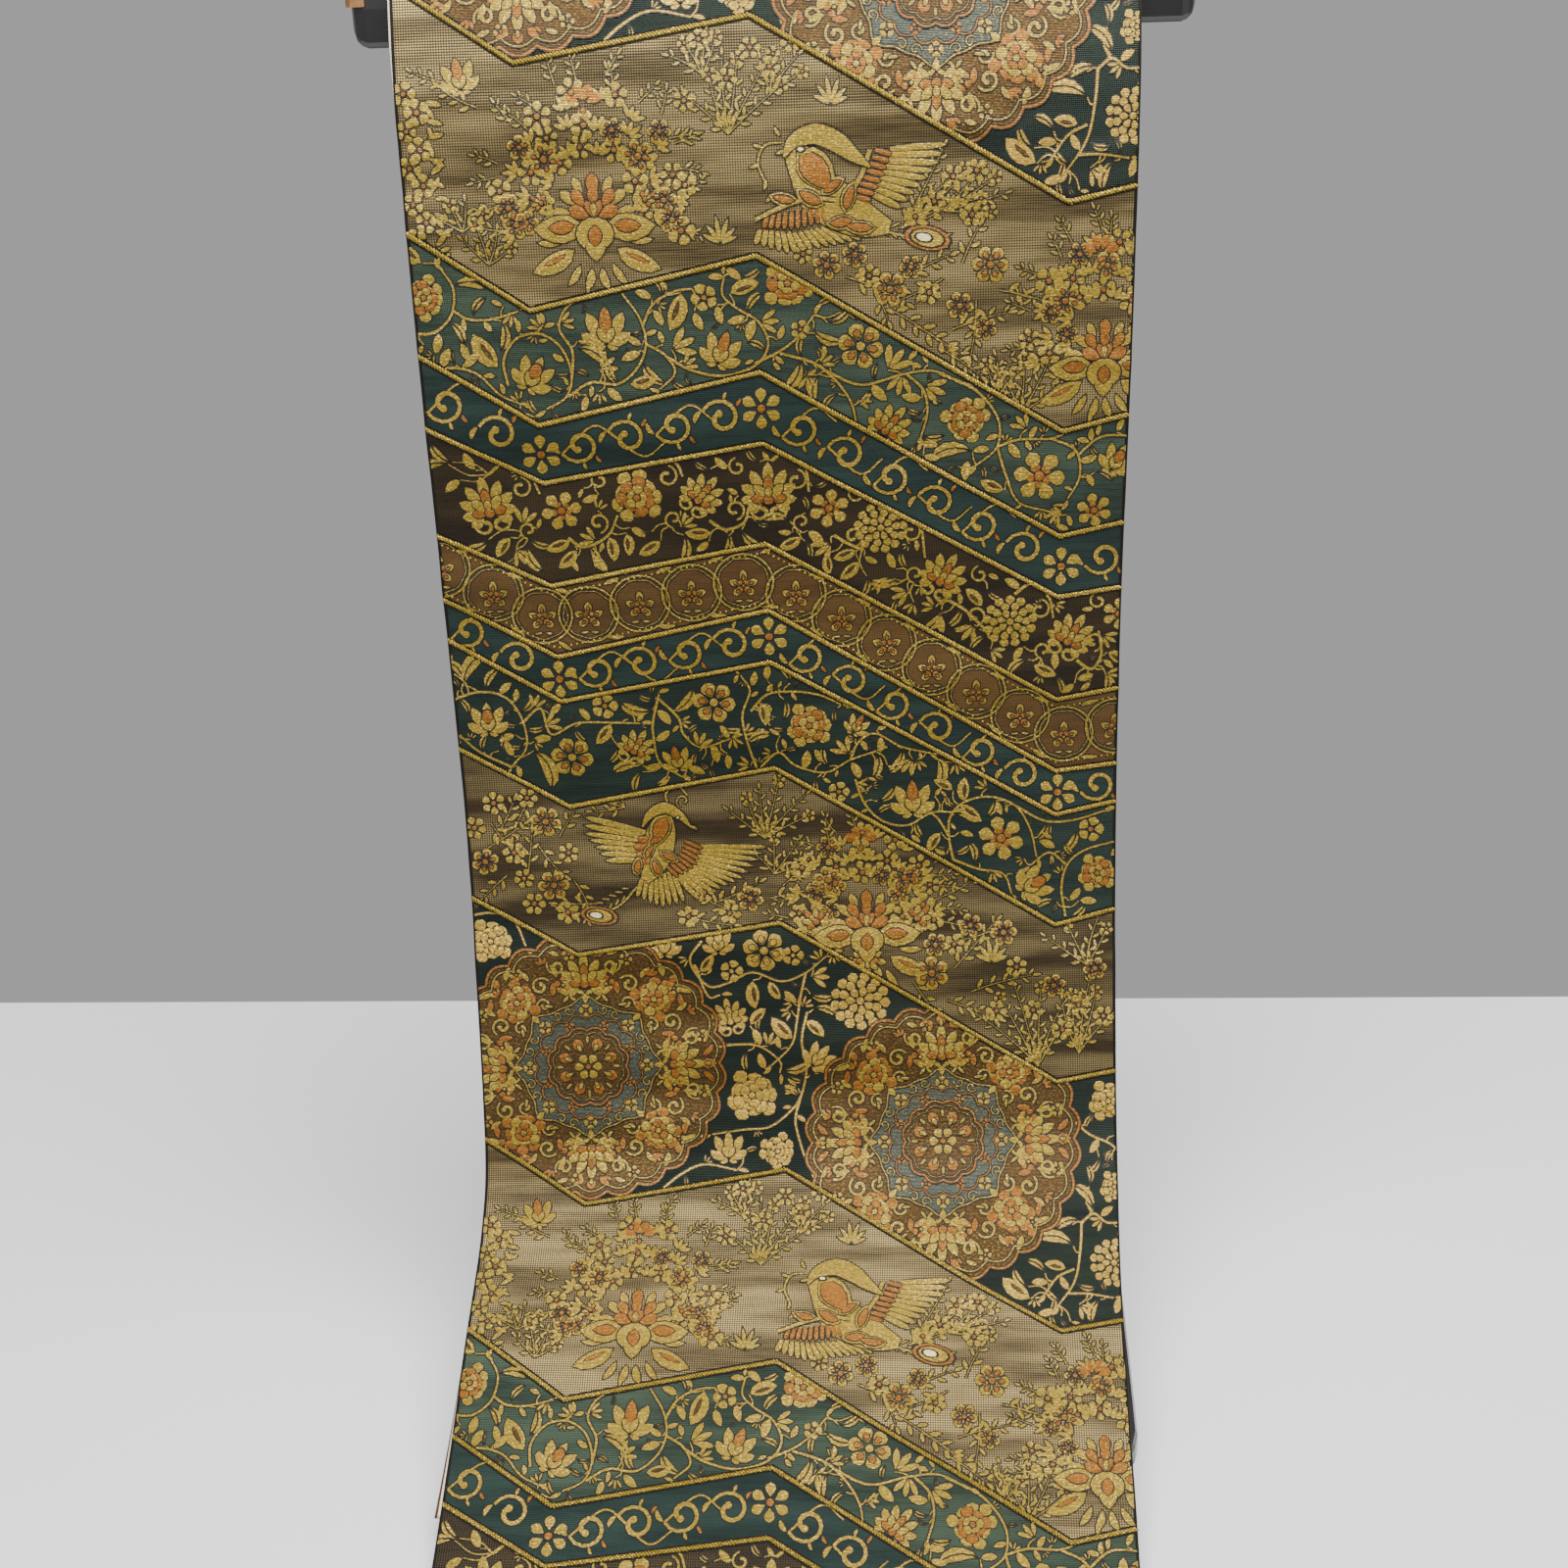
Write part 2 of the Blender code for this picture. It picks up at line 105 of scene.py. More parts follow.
# Soft creases: place across, place along, half length across, half width along, turn, height
creases = [
    ("left of the top", 40.0, 42.0, 90.0, 9.0, 4.0, 0.9),
    ("left of the top", 30.0, 66.0, 60.0, 7.0, -3.0, -0.6),
    ("at the left selvedge, high", 14.0, 30.0, 34.0, 3.2, 9.0, 0.55),
    ("at the left selvedge, high", 18.0, 54.0, 40.0, 3.4, -7.0, 0.5),
    ("at the left selvedge, high", 10.0, 86.0, 30.0, 3.6, 6.0, 0.6),
    ("at the left selvedge", 12.0, 132.0, 36.0, 3.4, -8.0, 0.5),
    ("at the right selvedge", 296.0, 62.0, 36.0, 3.4, -6.0, 0.5),
    ("at the right selvedge", 298.0, 150.0, 32.0, 3.6, 8.0, 0.55),
    ("below the bird", 205.0, 46.0, 60.0, 5.0, 6.0, 0.8),
    ("right of the bird", 260.0, 92.0, 70.0, 8.0, 5.0, -0.6),
    ("first teal band", 60.0, 172.0, 95.0, 10.0, -2.0, 1.0),
    ("first teal band", 110.0, 190.0, 120.0, 8.0, -3.0, -0.6),
    ("right half", 240.0, 205.0, 90.0, 9.0, 5.0, 0.7),
    ("bronze band", 30.0, 246.0, 60.0, 10.0, 2.0, 1.3),
    ("bronze band", 95.0, 262.0, 90.0, 9.0, -4.0, -0.6),
    ("right half", 270.0, 300.0, 60.0, 12.0, 4.0, 1.0),
    ("right half", 215.0, 276.0, 70.0, 9.0, 8.0, -0.5),
    ("green band", 120.0, 322.0, 120.0, 11.0, 3.0, 0.9),
    ("green band", 60.0, 345.0, 80.0, 9.0, -2.0, -0.6),
    ("dark band", 40.0, 385.0, 70.0, 10.0, 4.0, 0.8),
    ("pale patch", 80.0, 428.0, 100.0, 12.0, -2.0, 1.6),
    ("pale patch", 275.0, 440.0, 60.0, 14.0, 3.0, 1.4),
    ("under the pale patch", 150.0, 462.0, 130.0, 9.0, -2.0, -0.7),
    ("wide medallions", 60.0, 512.0, 90.0, 12.0, 3.0, 0.8),
    ("wide medallions", 150.0, 500.0, 150.0, 12.0, -3.0, -0.6),
    ("lower gauze", 80.0, 566.0, 120.0, 12.0, 2.0, 1.2),
    ("lower gauze", 230.0, 596.0, 110.0, 10.0, 4.0, -0.6),
    ("tail", 110.0, 640.0, 120.0, 13.0, -3.0, 0.9),
    ("tail", 240.0, 690.0, 100.0, 12.0, 4.0, 0.8),
    ("tail", 90.0, 735.0, 110.0, 10.0, -4.0, -0.5),
    ("over the rail", 150.0, -30.0, 160.0, 8.0, 2.0, 0.4),
    ("back, high", 90.0, -130.0, 110.0, 10.0, 4.0, 0.9),
    ("back, high", 220.0, -180.0, 90.0, 9.0, -5.0, 0.8),
    ("back, middle", 120.0, -270.0, 130.0, 12.0, 3.0, 1.0),
    ("back, middle", 240.0, -340.0, 80.0, 10.0, -4.0, -0.5),
    ("back, low", 80.0, -430.0, 100.0, 12.0, -3.0, 0.9),
    ("back, low", 200.0, -540.0, 120.0, 11.0, 4.0, 0.8),
]

creaseDepth = 1.35            # all of them together


def smoothThrough(rows, steps):
    points = np.array(rows, dtype=float)
    padded = np.vstack([2.0 * points[0] - points[1], points, 2.0 * points[-1] - points[-2]])
    curve = []
    for k in range(1, len(padded) - 2):
        a, b, c, d = padded[k - 1:k + 3]
        for t in np.arange(steps) / steps:
            curve.append(0.5 * (2.0 * b + (c - a) * t + (2.0 * a - 5.0 * b + 4.0 * c - d) * t ** 2
                                + (3.0 * b - a - 3.0 * c + d) * t ** 3))
    curve.append(padded[-2])
    return np.array(curve)


def makeFaceLine():
    middle = frontRows[0][3]
    foldY = backRows[-1][1] - backFold["radius"]
    rows = [(foldY - backFold["radius"], backFold["upTo"]),
            (foldY - backFold["radius"], backFold["z"] + 6.0)]
    for angle in np.radians(np.linspace(180.0, 0.0, 9)):
        rows.append((foldY + backFold["radius"] * math.cos(angle),
                     backFold["z"] - backFold["radius"] * math.sin(angle)))
    rows += [(y, z) for _, y, z in reversed(backRows)]
    for angle in np.radians(np.linspace(-90.0, railTop["leaves"], 12)):
        rows.append((railTop["y"] - railTop["radius"] * math.sin(angle),
                     railTop["z"] + railTop["radius"] * math.cos(angle)))
    rows = [(y, z, middle, 0.0) for y, z in rows] + [row[1:] for row in frontRows]
    line = smoothThrough(rows, 12)
    line[:, 1] = np.where(line[:, 0] < -200.0, np.maximum(line[:, 1], lowest), line[:, 1])
    steps = np.linalg.norm(np.diff(line[:, :2], axis=0), axis=1)
    along = np.concatenate([[0.0], np.cumsum(steps)])
    along += sash["crestAt"] - along[int(np.argmax(line[:, 1]))]
    even = np.arange(along[0], along[-1], 1.0)
    line = np.column_stack([np.interp(even, along, line[:, k]) for k in range(4)])
    slope = np.gradient(line[:, :2], axis=0)
    slope /= np.linalg.norm(slope, axis=1)[:, None]
    return np.column_stack([even, line, slope[:, 1], -slope[:, 0]])     # last two: the way out


faceLine = makeFaceLine()
print("face line from", round(faceLine[0, 0]), "to", round(faceLine[-1, 0]))


def creaseHeight(u, s):
    height = np.zeros_like(u)
    for _, acrossAt, alongAt, halfAcross, halfAlong, turn, lift in creases:
        c, n = math.cos(math.radians(turn)), math.sin(math.radians(turn))
        du, ds = u - acrossAt, s - alongAt
        a = (c * du + n * ds) / halfAcross
        b = (c * ds - n * du) / halfAlong
        height += creaseDepth * lift * np.exp(-a * a - b * b)
    return height


def drape(u, s, h):
    # flat cloth (across, along, height over the face) to a place in the frame, in metres
    u, s, h = (np.asarray(v, dtype=float) for v in (u, s, h))
    y, z, middle, swing, outY, outZ = (np.interp(s, faceLine[:, 0], faceLine[:, k]) for k in range(1, 7))
    swing = np.radians(swing)
    offset = u - sash["width"] / 2.0
    h = h + creaseHeight(u, s)
    x = middle + offset * np.cos(swing)
    y = y - offset * np.sin(swing) + outY * h + rowShift
    return np.column_stack([x, y, z + outZ * h]) * mm


# The woven layout, flat, in millimetres

lineKnots = [0.0, 50.0, 148.0, 281.0, 310.0]
bandLines = [
    ("under the medallions", -15.0, 19.0, 3.0, 82.0, 76.0),
    ("under the wide gauze", 86.0, 120.0, 100.0, 181.0, 174.0),
    ("under the first vines", 138.0, 170.0, 150.0, 230.0, 224.0),
    ("under the first scrolls", 170.0, 197.0, 182.0, 259.0, 255.0),
    ("under the palmettes", 220.0, 245.0, 229.0, 309.0, 304.0),
    ("under the rings", 250.0, 280.0, 261.0, 345.0, 342.0),
    ("under the second scrolls", 270.0, 302.0, 286.0, 367.0, 361.0),
    ("under the second vines", 324.0, 355.0, 339.0, 422.0, 415.0),
    ("under the dark gauze", 399.0, 429.0, 416.5, 500.0, 495.0),
]
bandNames = ["wideGauze", "firstVines", "firstScrolls", "palmettes", "rings", "secondScrolls",
             "secondVines", "darkGauze", "medallions"]


def lineAt(k, u):
    row = bandLines[k % 9]
    return np.interp(u, lineKnots, row[1:]) + sash["repeat"] * (k // 9)


def inBand(k, u, part=0.5):
    # place on the flat cloth at a share of the way across a band
    return lineAt(k, u) * (1.0 - part) + lineAt(k + 1, u) * part


def densePath(path, step):
    # straight runs cut into short ones
    dense = [path[0]]
    for (u1, s1), (u2, s2) in zip(path, path[1:]):
        count = max(1, round(math.dist((u1, s1), (u2, s2)) / step))
        dense += [(u1 + (u2 - u1) * n / count, s1 + (s2 - s1) * n / count) for n in range(1, count + 1)]
    return dense


def bentSpine(start, turn, length):
    # even steps from a start, each at its own angle
    steps = np.column_stack([np.cos(turn[:-1]), np.sin(turn[:-1])]) * (length / (len(turn) - 1))
    return np.array(start) + np.concatenate([[[0.0, 0.0]], np.cumsum(steps, axis=0)])


def sidesOf(spine):
    # the way across a line at each of its points
    slope = np.gradient(spine, axis=0)
    slope /= np.maximum(np.linalg.norm(slope, axis=1), 1e-6)[:, None]
    return np.column_stack([-slope[:, 1], slope[:, 0]])


def ringPoints(middle, r, a):
    return np.column_stack([middle[0] + r * np.cos(a), middle[1] + r * np.sin(a)])


def flatArea(corners):
    # twice a flat face's area, with its sign
    return sum(a[0] * b[1] - b[0] * a[1] for a, b in zip(corners, [*corners[1:], corners[0]]))


def addItem(name, data):
    item = bpy.data.objects.new(name, data)
    bpy.context.scene.collection.objects.link(item)
    return item


fullWidth = (-1.0, -0.5, 0.0, 0.5, 1.0)
narrow = (-1.0, 0.0, 1.0)
proud = 0.07                  # a figure's rim lies this high on the ground


class FlatWork:
    # pieces of weaving drawn flat: (across, along, height) points with their distance from a rim

    def __init__(self):
        self.points, self.rims, self.faces, self.threads = [], [], [], []

    def addGrid(self, grid, rim, thread, closed=False):
        rows, columns = grid.shape[:2]
        first = len(self.points)
        self.points += grid.reshape(-1, 3).tolist()
        self.rims += rim.reshape(-1).tolist()
        wrap = columns if closed else columns - 1
        for i in range(rows - 1):
            for j in range(wrap):
                n = (j + 1) % columns
                a, b = first + i * columns + j, first + i * columns + n
                self.faces.append((a, b, b + columns, a + columns))
                self.threads.append(thread)

    def strip(self, spine, half, thread, crown=0.13, lift=0.0, columns=fullWidth, vein=None):
        spine, half = np.asarray(spine, dtype=float), np.asarray(half, dtype=float)
        side, across = sidesOf(spine), np.array(columns)
        grid = np.zeros((len(spine), len(across), 3))
        grid[:, :, :2] = spine[:, None, :] + side[:, None, :] * (half[:, None] * across[None, :])[..., None]
        rim = half[:, None] * (1.0 - np.abs(across))[None, :]
        grid[:, :, 2] = lift + proud + crown * np.minimum(1.0, rim / 0.9) ** 0.6
        if vein is not None:
            rim[:, len(across) // 2] = np.minimum(rim[:, len(across) // 2], vein)
            grid[:, len(across) // 2, 2] -= 0.5 * crown
        self.addGrid(grid, rim, thread)

    def leaf(self, base, angle, length, width, thread, bend=0.0, vein=None, blunt=1.0, crown=0.13,
             lift=0.0, rows=6):
        t = np.linspace(0.0, 1.0, rows)
        spine = bentSpine(base, np.radians(angle + bend * (t - 0.35)), length)
        half = (0.5 * width + 0.12) * np.sin(np.pi * t ** blunt) ** 0.7 + 0.02
        columns = narrow if width < 4.7 and vein is None else fullWidth
        self.strip(spine, half, thread, crown, lift, columns, vein)

    def vine(self, points, core, thread, taper=(1.0, 1.0), crown=0.12, lift=0.0, steps=5, sampled=False):
        spine = np.array(points, dtype=float) if sampled else smoothThrough(points, steps)
        t = np.linspace(0.0, 1.0, len(spine))
        half = (core * 0.5) * (taper[0] + (taper[1] - taper[0]) * t) + 0.56
        self.strip(spine, half, thread, crown, lift, columns=narrow)
        return spine

    def disc(self, middle, radius, thread, crown=0.13, lift=0.0, around=10, squash=1.0, angle=0.0):
        a = np.radians(angle) + np.arange(around) * 2.0 * np.pi / around
        shares = np.array([1.0, 0.6, 0.08])
        grid = np.zeros((3, around, 3))
        c, n = math.cos(math.radians(angle)), math.sin(math.radians(angle))
        x = shares[:, None] * radius * np.cos(a - math.radians(angle))[None, :]
        y = shares[:, None] * radius * squash * np.sin(a - math.radians(angle))[None, :]
        grid[:, :, 0] = middle[0] + c * x - n * y
        grid[:, :, 1] = middle[1] + n * x + c * y
        rim = (1.0 - shares)[:, None] * radius * squash * np.ones((1, around))
        grid[:, :, 2] = lift + proud + crown * np.minimum(1.0, rim / (0.8 * radius)) ** 0.5
        self.addGrid(grid, rim, thread, closed=True)
        first = len(self.points) - around
        self.faces.append(tuple(range(first, first + around)))
        self.threads.append(thread)

    def plate(self, middle, radii, thread, inner=0.3, spacing=3.0, crown=0.04, lift=0.0, around=96):
        # a flat lobed ring; radii gives the outer radius at an angle
        a = np.arange(around) * 2.0 * np.pi / around
        outer = radii(a)
        count = max(2, int((outer.max() - inner) / spacing) + 1)
        shares = np.linspace(0.0, 1.0, count)
        r = outer[None, :] + (inner - outer)[None, :] * shares[:, None]
        grid = np.zeros((count, around, 3))
        grid[:, :, 0] = middle[0] + r * np.cos(a)
        grid[:, :, 1] = middle[1] + r * np.sin(a)
        rim = outer[None, :] - r
        grid[:, :, 2] = lift + proud + np.where(rim < 0.01, 0.0, crown)
        self.addGrid(grid, rim + 0.7 * (rim > 0.01), thread, closed=True)

    def loop(self, middle, radii, core, thread, around=96, crown=0.12, lift=0.0):
        a = np.append(np.arange(around), 0) * 2.0 * np.pi / around
        r = radii(a)
        spine = ringPoints(middle, r, a)
        slope = np.roll(spine[:-1], -1, axis=0) - np.roll(spine[:-1], 1, axis=0)
        slope /= np.linalg.norm(slope, axis=1)[:, None]
        side = np.column_stack([-slope[:, 1], slope[:, 0]])
        half = core / 2.0 + 0.54
        grid = np.zeros((3, around, 3))
        for row, share in enumerate((1.0, 0.0, -1.0)):
            grid[row, :, :2] = spine[:-1] + side * half * share
        grid[:, :, 2] = lift + proud + np.array([0.0, crown, 0.0])[:, None]
        rim = np.array([0.0, half, 0.0])[:, None] * np.ones((1, around))
        self.addGrid(grid, rim, thread, closed=True)

    def spiral(self, middle, radius, start, turns, core, thread, curl=0.25, way=1, bead=True):
        t = np.linspace(0.0, 1.0, max(8, int(abs(turns) * 16)))
        r = radius * (1.0 - (1.0 - curl) * t ** 0.9)
        a = np.radians(start) + way * turns * 2.0 * np.pi * t
        spine = ringPoints(middle, r, a)
        self.vine(spine, core, thread, (0.7, 1.2), sampled=True)
        if bead:
            self.disc(spine[-1], core * 1.15, thread, around=8)
        return spine


def clipFlat(work, low=None, high=None, ends=None, selvedge=sash["edgeIn"]):
    # trims flat work to the selvedges, to two band lines and to two places along the cloth
    bm = bmesh.new()
    rimLayer = bm.verts.layers.float.new("rim")
    verts = []
    for point, rim in zip(work.points, work.rims):
        vert = bm.verts.new(point)
        vert[rimLayer] = rim
        verts.append(vert)
    names = sorted(set(work.threads))
    for face, thread in zip(work.faces, work.threads):
        made = bm.faces.new([verts[k] for k in face])
        made.material_index = names.index(thread)

    def cut(place, normal, clear):
        geom = bm.verts[:] + bm.edges[:] + bm.faces[:]
        bmesh.ops.bisect_plane(bm, geom=geom, dist=1e-5, plane_co=place, plane_no=normal, clear_outer=clear)

    if selvedge:
        cut((selvedge, 0.0, 0.0), (-1.0, 0.0, 0.0), True)
        cut((sash["width"] - selvedge, 0.0, 0.0), (1.0, 0.0, 0.0), True)
    if ends:
        cut((0.0, ends[0], 0.0), (0.0, -1.0, 0.0), True)
        cut((0.0, ends[1], 0.0), (0.0, 1.0, 0.0), True)
    if low is not None:
        for knot in lineKnots[1:-1]:
            cut((knot, 0.0, 0.0), (1.0, 0.0, 0.0), False)
        for k, sign in ((low, -1.0), (high, 1.0)):
            for vert in bm.verts:
                vert.co.y -= float(lineAt(k, vert.co.x))
            cut((0.0, -sign * 1.3, 0.0), (0.0, sign, 0.0), True)
            for vert in bm.verts:
                vert.co.y += float(lineAt(k, vert.co.x))
    out = FlatWork()
    bm.verts.index_update()
    out.points = [tuple(vert.co) for vert in bm.verts]
    out.rims = [vert[rimLayer] for vert in bm.verts]
    for face in bm.faces:
        if face.calc_area() > 1e-4:
            out.faces.append(tuple(vert.index for vert in face.verts))
            out.threads.append(names[face.material_index])
    bm.free()
    return out


def repeatFlat(work, first, last):
    out = FlatWork()
    points = np.array(work.points)
    for turn in range(first, last + 1):
        start = len(out.points)
        moved = points + np.array([0.0, sash["repeat"] * turn, 0.0])
        out.points += moved.tolist()
        out.rims += work.rims
        out.faces += [tuple(k + start for k in face) for face in work.faces]
        out.threads += work.threads
    return out


def pieceFromFlat(name, work, threads):
    points = np.array(work.points)
    places = drape(points[:, 0], points[:, 1], points[:, 2])
    mesh = bpy.data.meshes.new(name)
    mesh.from_pydata(places.tolist(), [], work.faces)
    names = sorted(set(work.threads))
    for thread in names:
        mesh.materials.append(threads[thread])
    mesh.polygons.foreach_set("material_index", [names.index(t) for t in work.threads])
    rim = mesh.attributes.new("rim", "FLOAT", "POINT")
    rim.data.foreach_set("value", np.array(work.rims, dtype=np.float32))
    addFlatMap(mesh, points[:, :2])
    mesh.shade_smooth()
    item = addItem(name, mesh)
    turnOut(item, points)
    print(name, countTriangles(work.faces), "triangles")
    return item


def countTriangles(faces):
    return sum(len(face) - 2 for face in faces)


def addFlatMap(mesh, flat):
    layer = mesh.uv_layers.new(name="flatCloth")
    corners = np.zeros(len(mesh.loops), dtype=np.int32)
    mesh.loops.foreach_get("vertex_index", corners)
    layer.data.foreach_set("uv", (flat[corners] * mm).astype(np.float32).ravel())


def turnOut(item, points):
    # every face that looks into the cloth is flipped
    mesh = item.data
    flip = []
    for polygon in mesh.polygons:
        if flatArea([points[k] for k in polygon.vertices]) > 0.0:
            flip.append(polygon.index)
    bm = bmesh.new()
    bm.from_mesh(mesh)
    bm.faces.ensure_lookup_table()
    bmesh.ops.reverse_faces(bm, faces=[bm.faces[k] for k in flip])
    bm.to_mesh(mesh)
    bm.free()

# Threads and cloth finishes

def srgb(r, g, b):
    return tuple(((c / 255.0 + 0.055) / 1.055) ** 2.4 if c > 10 else c / 3294.6 for c in (r, g, b)) + (1.0,)


def newGroup(name, inputs, outputs):
    tree = bpy.data.node_groups.new(name, "ShaderNodeTree")
    for label, kind, value in inputs:
        socket = tree.interface.new_socket(label, in_out="INPUT", socket_type=kind)
        socket.default_value = value
    for label, kind in outputs:
        tree.interface.new_socket(label, in_out="OUTPUT", socket_type=kind)
    return tree, tree.nodes.new("NodeGroupInput"), tree.nodes.new("NodeGroupOutput")


def calc(tree, operation, a, b=None, c=None):
    node = tree.nodes.new("ShaderNodeMath")
    node.operation = operation
    for k, value in enumerate((a, b, c)):
        if isinstance(value, (int, float)):
            node.inputs[k].default_value = value
        elif value is not None:
            tree.links.new(value, node.inputs[k])
    return node.outputs[0]


def blendColour(tree, share, a, b):
    node = tree.nodes.new("ShaderNodeMix")
    node.data_type = "RGBA"
    for socket, value in ((node.inputs[0], share), (node.inputs[6], a), (node.inputs[7], b)):
        if isinstance(value, (int, float, tuple)):
            socket.default_value = value
        else:
            tree.links.new(value, socket)
    return node.outputs[2]


def rampBetween(tree, value, low, high):
    node = tree.nodes.new("ShaderNodeMapRange")
    node.interpolation_type = "SMOOTHSTEP"
    tree.links.new(value, node.inputs[0])
    node.inputs[1].default_value = low
    node.inputs[2].default_value = high
    return node.outputs[0]


def flatPlace(tree):
    # across and along the flat cloth, in millimetres
    flat = tree.nodes.new("ShaderNodeUVMap")
    flat.uv_map = "flatCloth"
    split = tree.nodes.new("ShaderNodeSeparateXYZ")
    tree.links.new(flat.outputs[0], split.inputs[0])
    return [calc(tree, "MULTIPLY", split.outputs[k], 1000.0) for k in (0, 1)]


def noiseOver(tree, across, along, size, stretch, detail=2.0):
    place = tree.nodes.new("ShaderNodeCombineXYZ")
    tree.links.new(calc(tree, "DIVIDE", across, size * stretch), place.inputs[0])
    tree.links.new(calc(tree, "DIVIDE", along, size), place.inputs[1])
    noise = tree.nodes.new("ShaderNodeTexNoise")
    noise.inputs["Scale"].default_value = 1.0
    noise.inputs["Detail"].default_value = detail
    tree.links.new(place.outputs[0], noise.inputs["Vector"])
    return noise.outputs["Fac"]


def wave(tree, place, pitch):
    turned = calc(tree, "DIVIDE", calc(tree, "MULTIPLY", place, 2.0 * math.pi), pitch)
    return calc(tree, "MULTIPLY_ADD", calc(tree, "SINE", turned), 0.5, 0.5)


def makeGroundWeave():
    # crossing threads of a woven ground: the weft floats over the warp in a grid or a twill, with soft
    # patches of painted sheen in the Glint colour, mostly on the weft squares
    tree, inside, out = newGroup("groundWeave", [
        ("Warp", "NodeSocketColor", (0.1, 0.1, 0.1, 1.0)),
        ("Weft", "NodeSocketColor", (0.3, 0.3, 0.3, 1.0)),
        ("Glint", "NodeSocketColor", (0.5, 0.5, 0.5, 1.0)),
        ("Pitch", "NodeSocketFloat", 1.1),
        ("Slant", "NodeSocketFloat", 0.0),
        ("Glint Share", "NodeSocketFloat", 0.4),
    ], [("Color", "NodeSocketColor"), ("Height", "NodeSocketFloat"), ("Metal", "NodeSocketFloat")])
    across, along = flatPlace(tree)
    pitch = inside.outputs["Pitch"]
    leaning = calc(tree, "MULTIPLY_ADD", along, inside.outputs["Slant"], across)
    warp = wave(tree, leaning, pitch)
    weft = wave(tree, along, pitch)
    grid = calc(tree, "MULTIPLY", warp, weft)
    slubs = noiseOver(tree, across, along, 1.5, 11.0, 3.0)
    # painted sheen: broad noise patches that lighten the weave towards the Glint colour, standing in for
    # light caught by the metal weft
    paintedSheenPatches = noiseOver(tree, across, along, 15.0, 6.0, 3.0)
    squares = rampBetween(tree, grid, 0.1, 0.5)
    share = calc(tree, "MULTIPLY_ADD", slubs, 0.8, calc(tree, "MULTIPLY_ADD", squares, 0.7, -0.26))
    colour = blendColour(tree, calc(tree, "MAXIMUM", share, 0.0), inside.outputs["Warp"],
                         inside.outputs["Weft"])
    paintedSheen = calc(tree, "MULTIPLY", rampBetween(tree, paintedSheenPatches, 0.36, 0.66), inside.outputs["Glint Share"])
    paintedSheen = calc(tree, "MULTIPLY", paintedSheen, calc(tree, "MULTIPLY_ADD", squares, 0.85, 0.15))
    colour = blendColour(tree, paintedSheen, colour, inside.outputs["Glint"])
    tree.links.new(colour, out.inputs["Color"])
    tree.links.new(calc(tree, "ADD", warp, weft), out.inputs["Height"])
    tree.links.new(calc(tree, "MULTIPLY_ADD", grid, 0.5, 0.25), out.inputs["Metal"])
    return tree


def makeFigureWeave():
    # floating weft of a figure: ribbed across, dark along its rim and its veins, with painted glints: fine
    # flecks inside broad patches of painted light, in the Glint colour
    tree, inside, out = newGroup("figureWeave", [
        ("Thread", "NodeSocketColor", (0.5, 0.4, 0.2, 1.0)),
        ("Shade", "NodeSocketColor", (0.3, 0.2, 0.1, 1.0)),
        ("Outline", "NodeSocketColor", (0.03, 0.03, 0.02, 1.0)),
        ("Outline Width", "NodeSocketFloat", 0.5),
        ("Glint", "NodeSocketColor", (0.9, 0.7, 0.4, 1.0)),
        ("Glint Share", "NodeSocketFloat", 0.5),
    ], [("Color", "NodeSocketColor"), ("Height", "NodeSocketFloat"), ("Metal", "NodeSocketFloat")])
    across, along = flatPlace(tree)
    rim = tree.nodes.new("ShaderNodeAttribute")
    rim.attribute_name = "rim"
    frayed = calc(tree, "MULTIPLY_ADD", noiseOver(tree, across, along, 0.9, 1.6), 0.5, -0.25)
    inset = calc(tree, "SUBTRACT", calc(tree, "ADD", rim.outputs["Fac"], frayed),
                 inside.outputs["Outline Width"])
    body = rampBetween(tree, inset, -0.1, 0.14)
    ribs = wave(tree, along, 0.62)
    uneven = noiseOver(tree, across, along, 1.1, 5.0)
    tone = calc(tree, "MULTIPLY_ADD", ribs, -0.35, calc(tree, "MULTIPLY_ADD", uneven, 1.5, -0.28))
    colour = blendColour(tree, rampBetween(tree, tone, 0.0, 0.9), inside.outputs["Thread"],
                         inside.outputs["Shade"])
    # painted glints: fine noise flecks, strongest inside the broad patches of painted light below, standing
    # in for light caught by the metal thread
    paintedGlintFlecks = rampBetween(tree, noiseOver(tree, across, along, 0.7, 1.9, 3.0), 0.52, 0.64)
    lit = rampBetween(tree, noiseOver(tree, across, along, 46.0, 1.5, 1.0), 0.36, 0.7)
    glints = calc(tree, "MULTIPLY", calc(tree, "MULTIPLY_ADD", lit, 0.6, 0.4),
                  calc(tree, "MULTIPLY_ADD", paintedGlintFlecks, 0.92, 0.08))
    glints = calc(tree, "MULTIPLY", glints, inside.outputs["Glint Share"])
    colour = blendColour(tree, glints, colour, inside.outputs["Glint"])
    colour = blendColour(tree, body, inside.outputs["Outline"], colour)
    tree.links.new(colour, out.inputs["Color"])
    tree.links.new(calc(tree, "ADD", ribs, uneven), out.inputs["Height"])
    tree.links.new(calc(tree, "MULTIPLY", body, 0.55), out.inputs["Metal"])
    return tree


groundWeave = makeGroundWeave()
figureWeave = makeFigureWeave()


def newMaterial(name):
    material = bpy.data.materials.new(name)
    material.use_nodes = True
    return material, material.node_tree, material.node_tree.nodes["Principled BSDF"].inputs


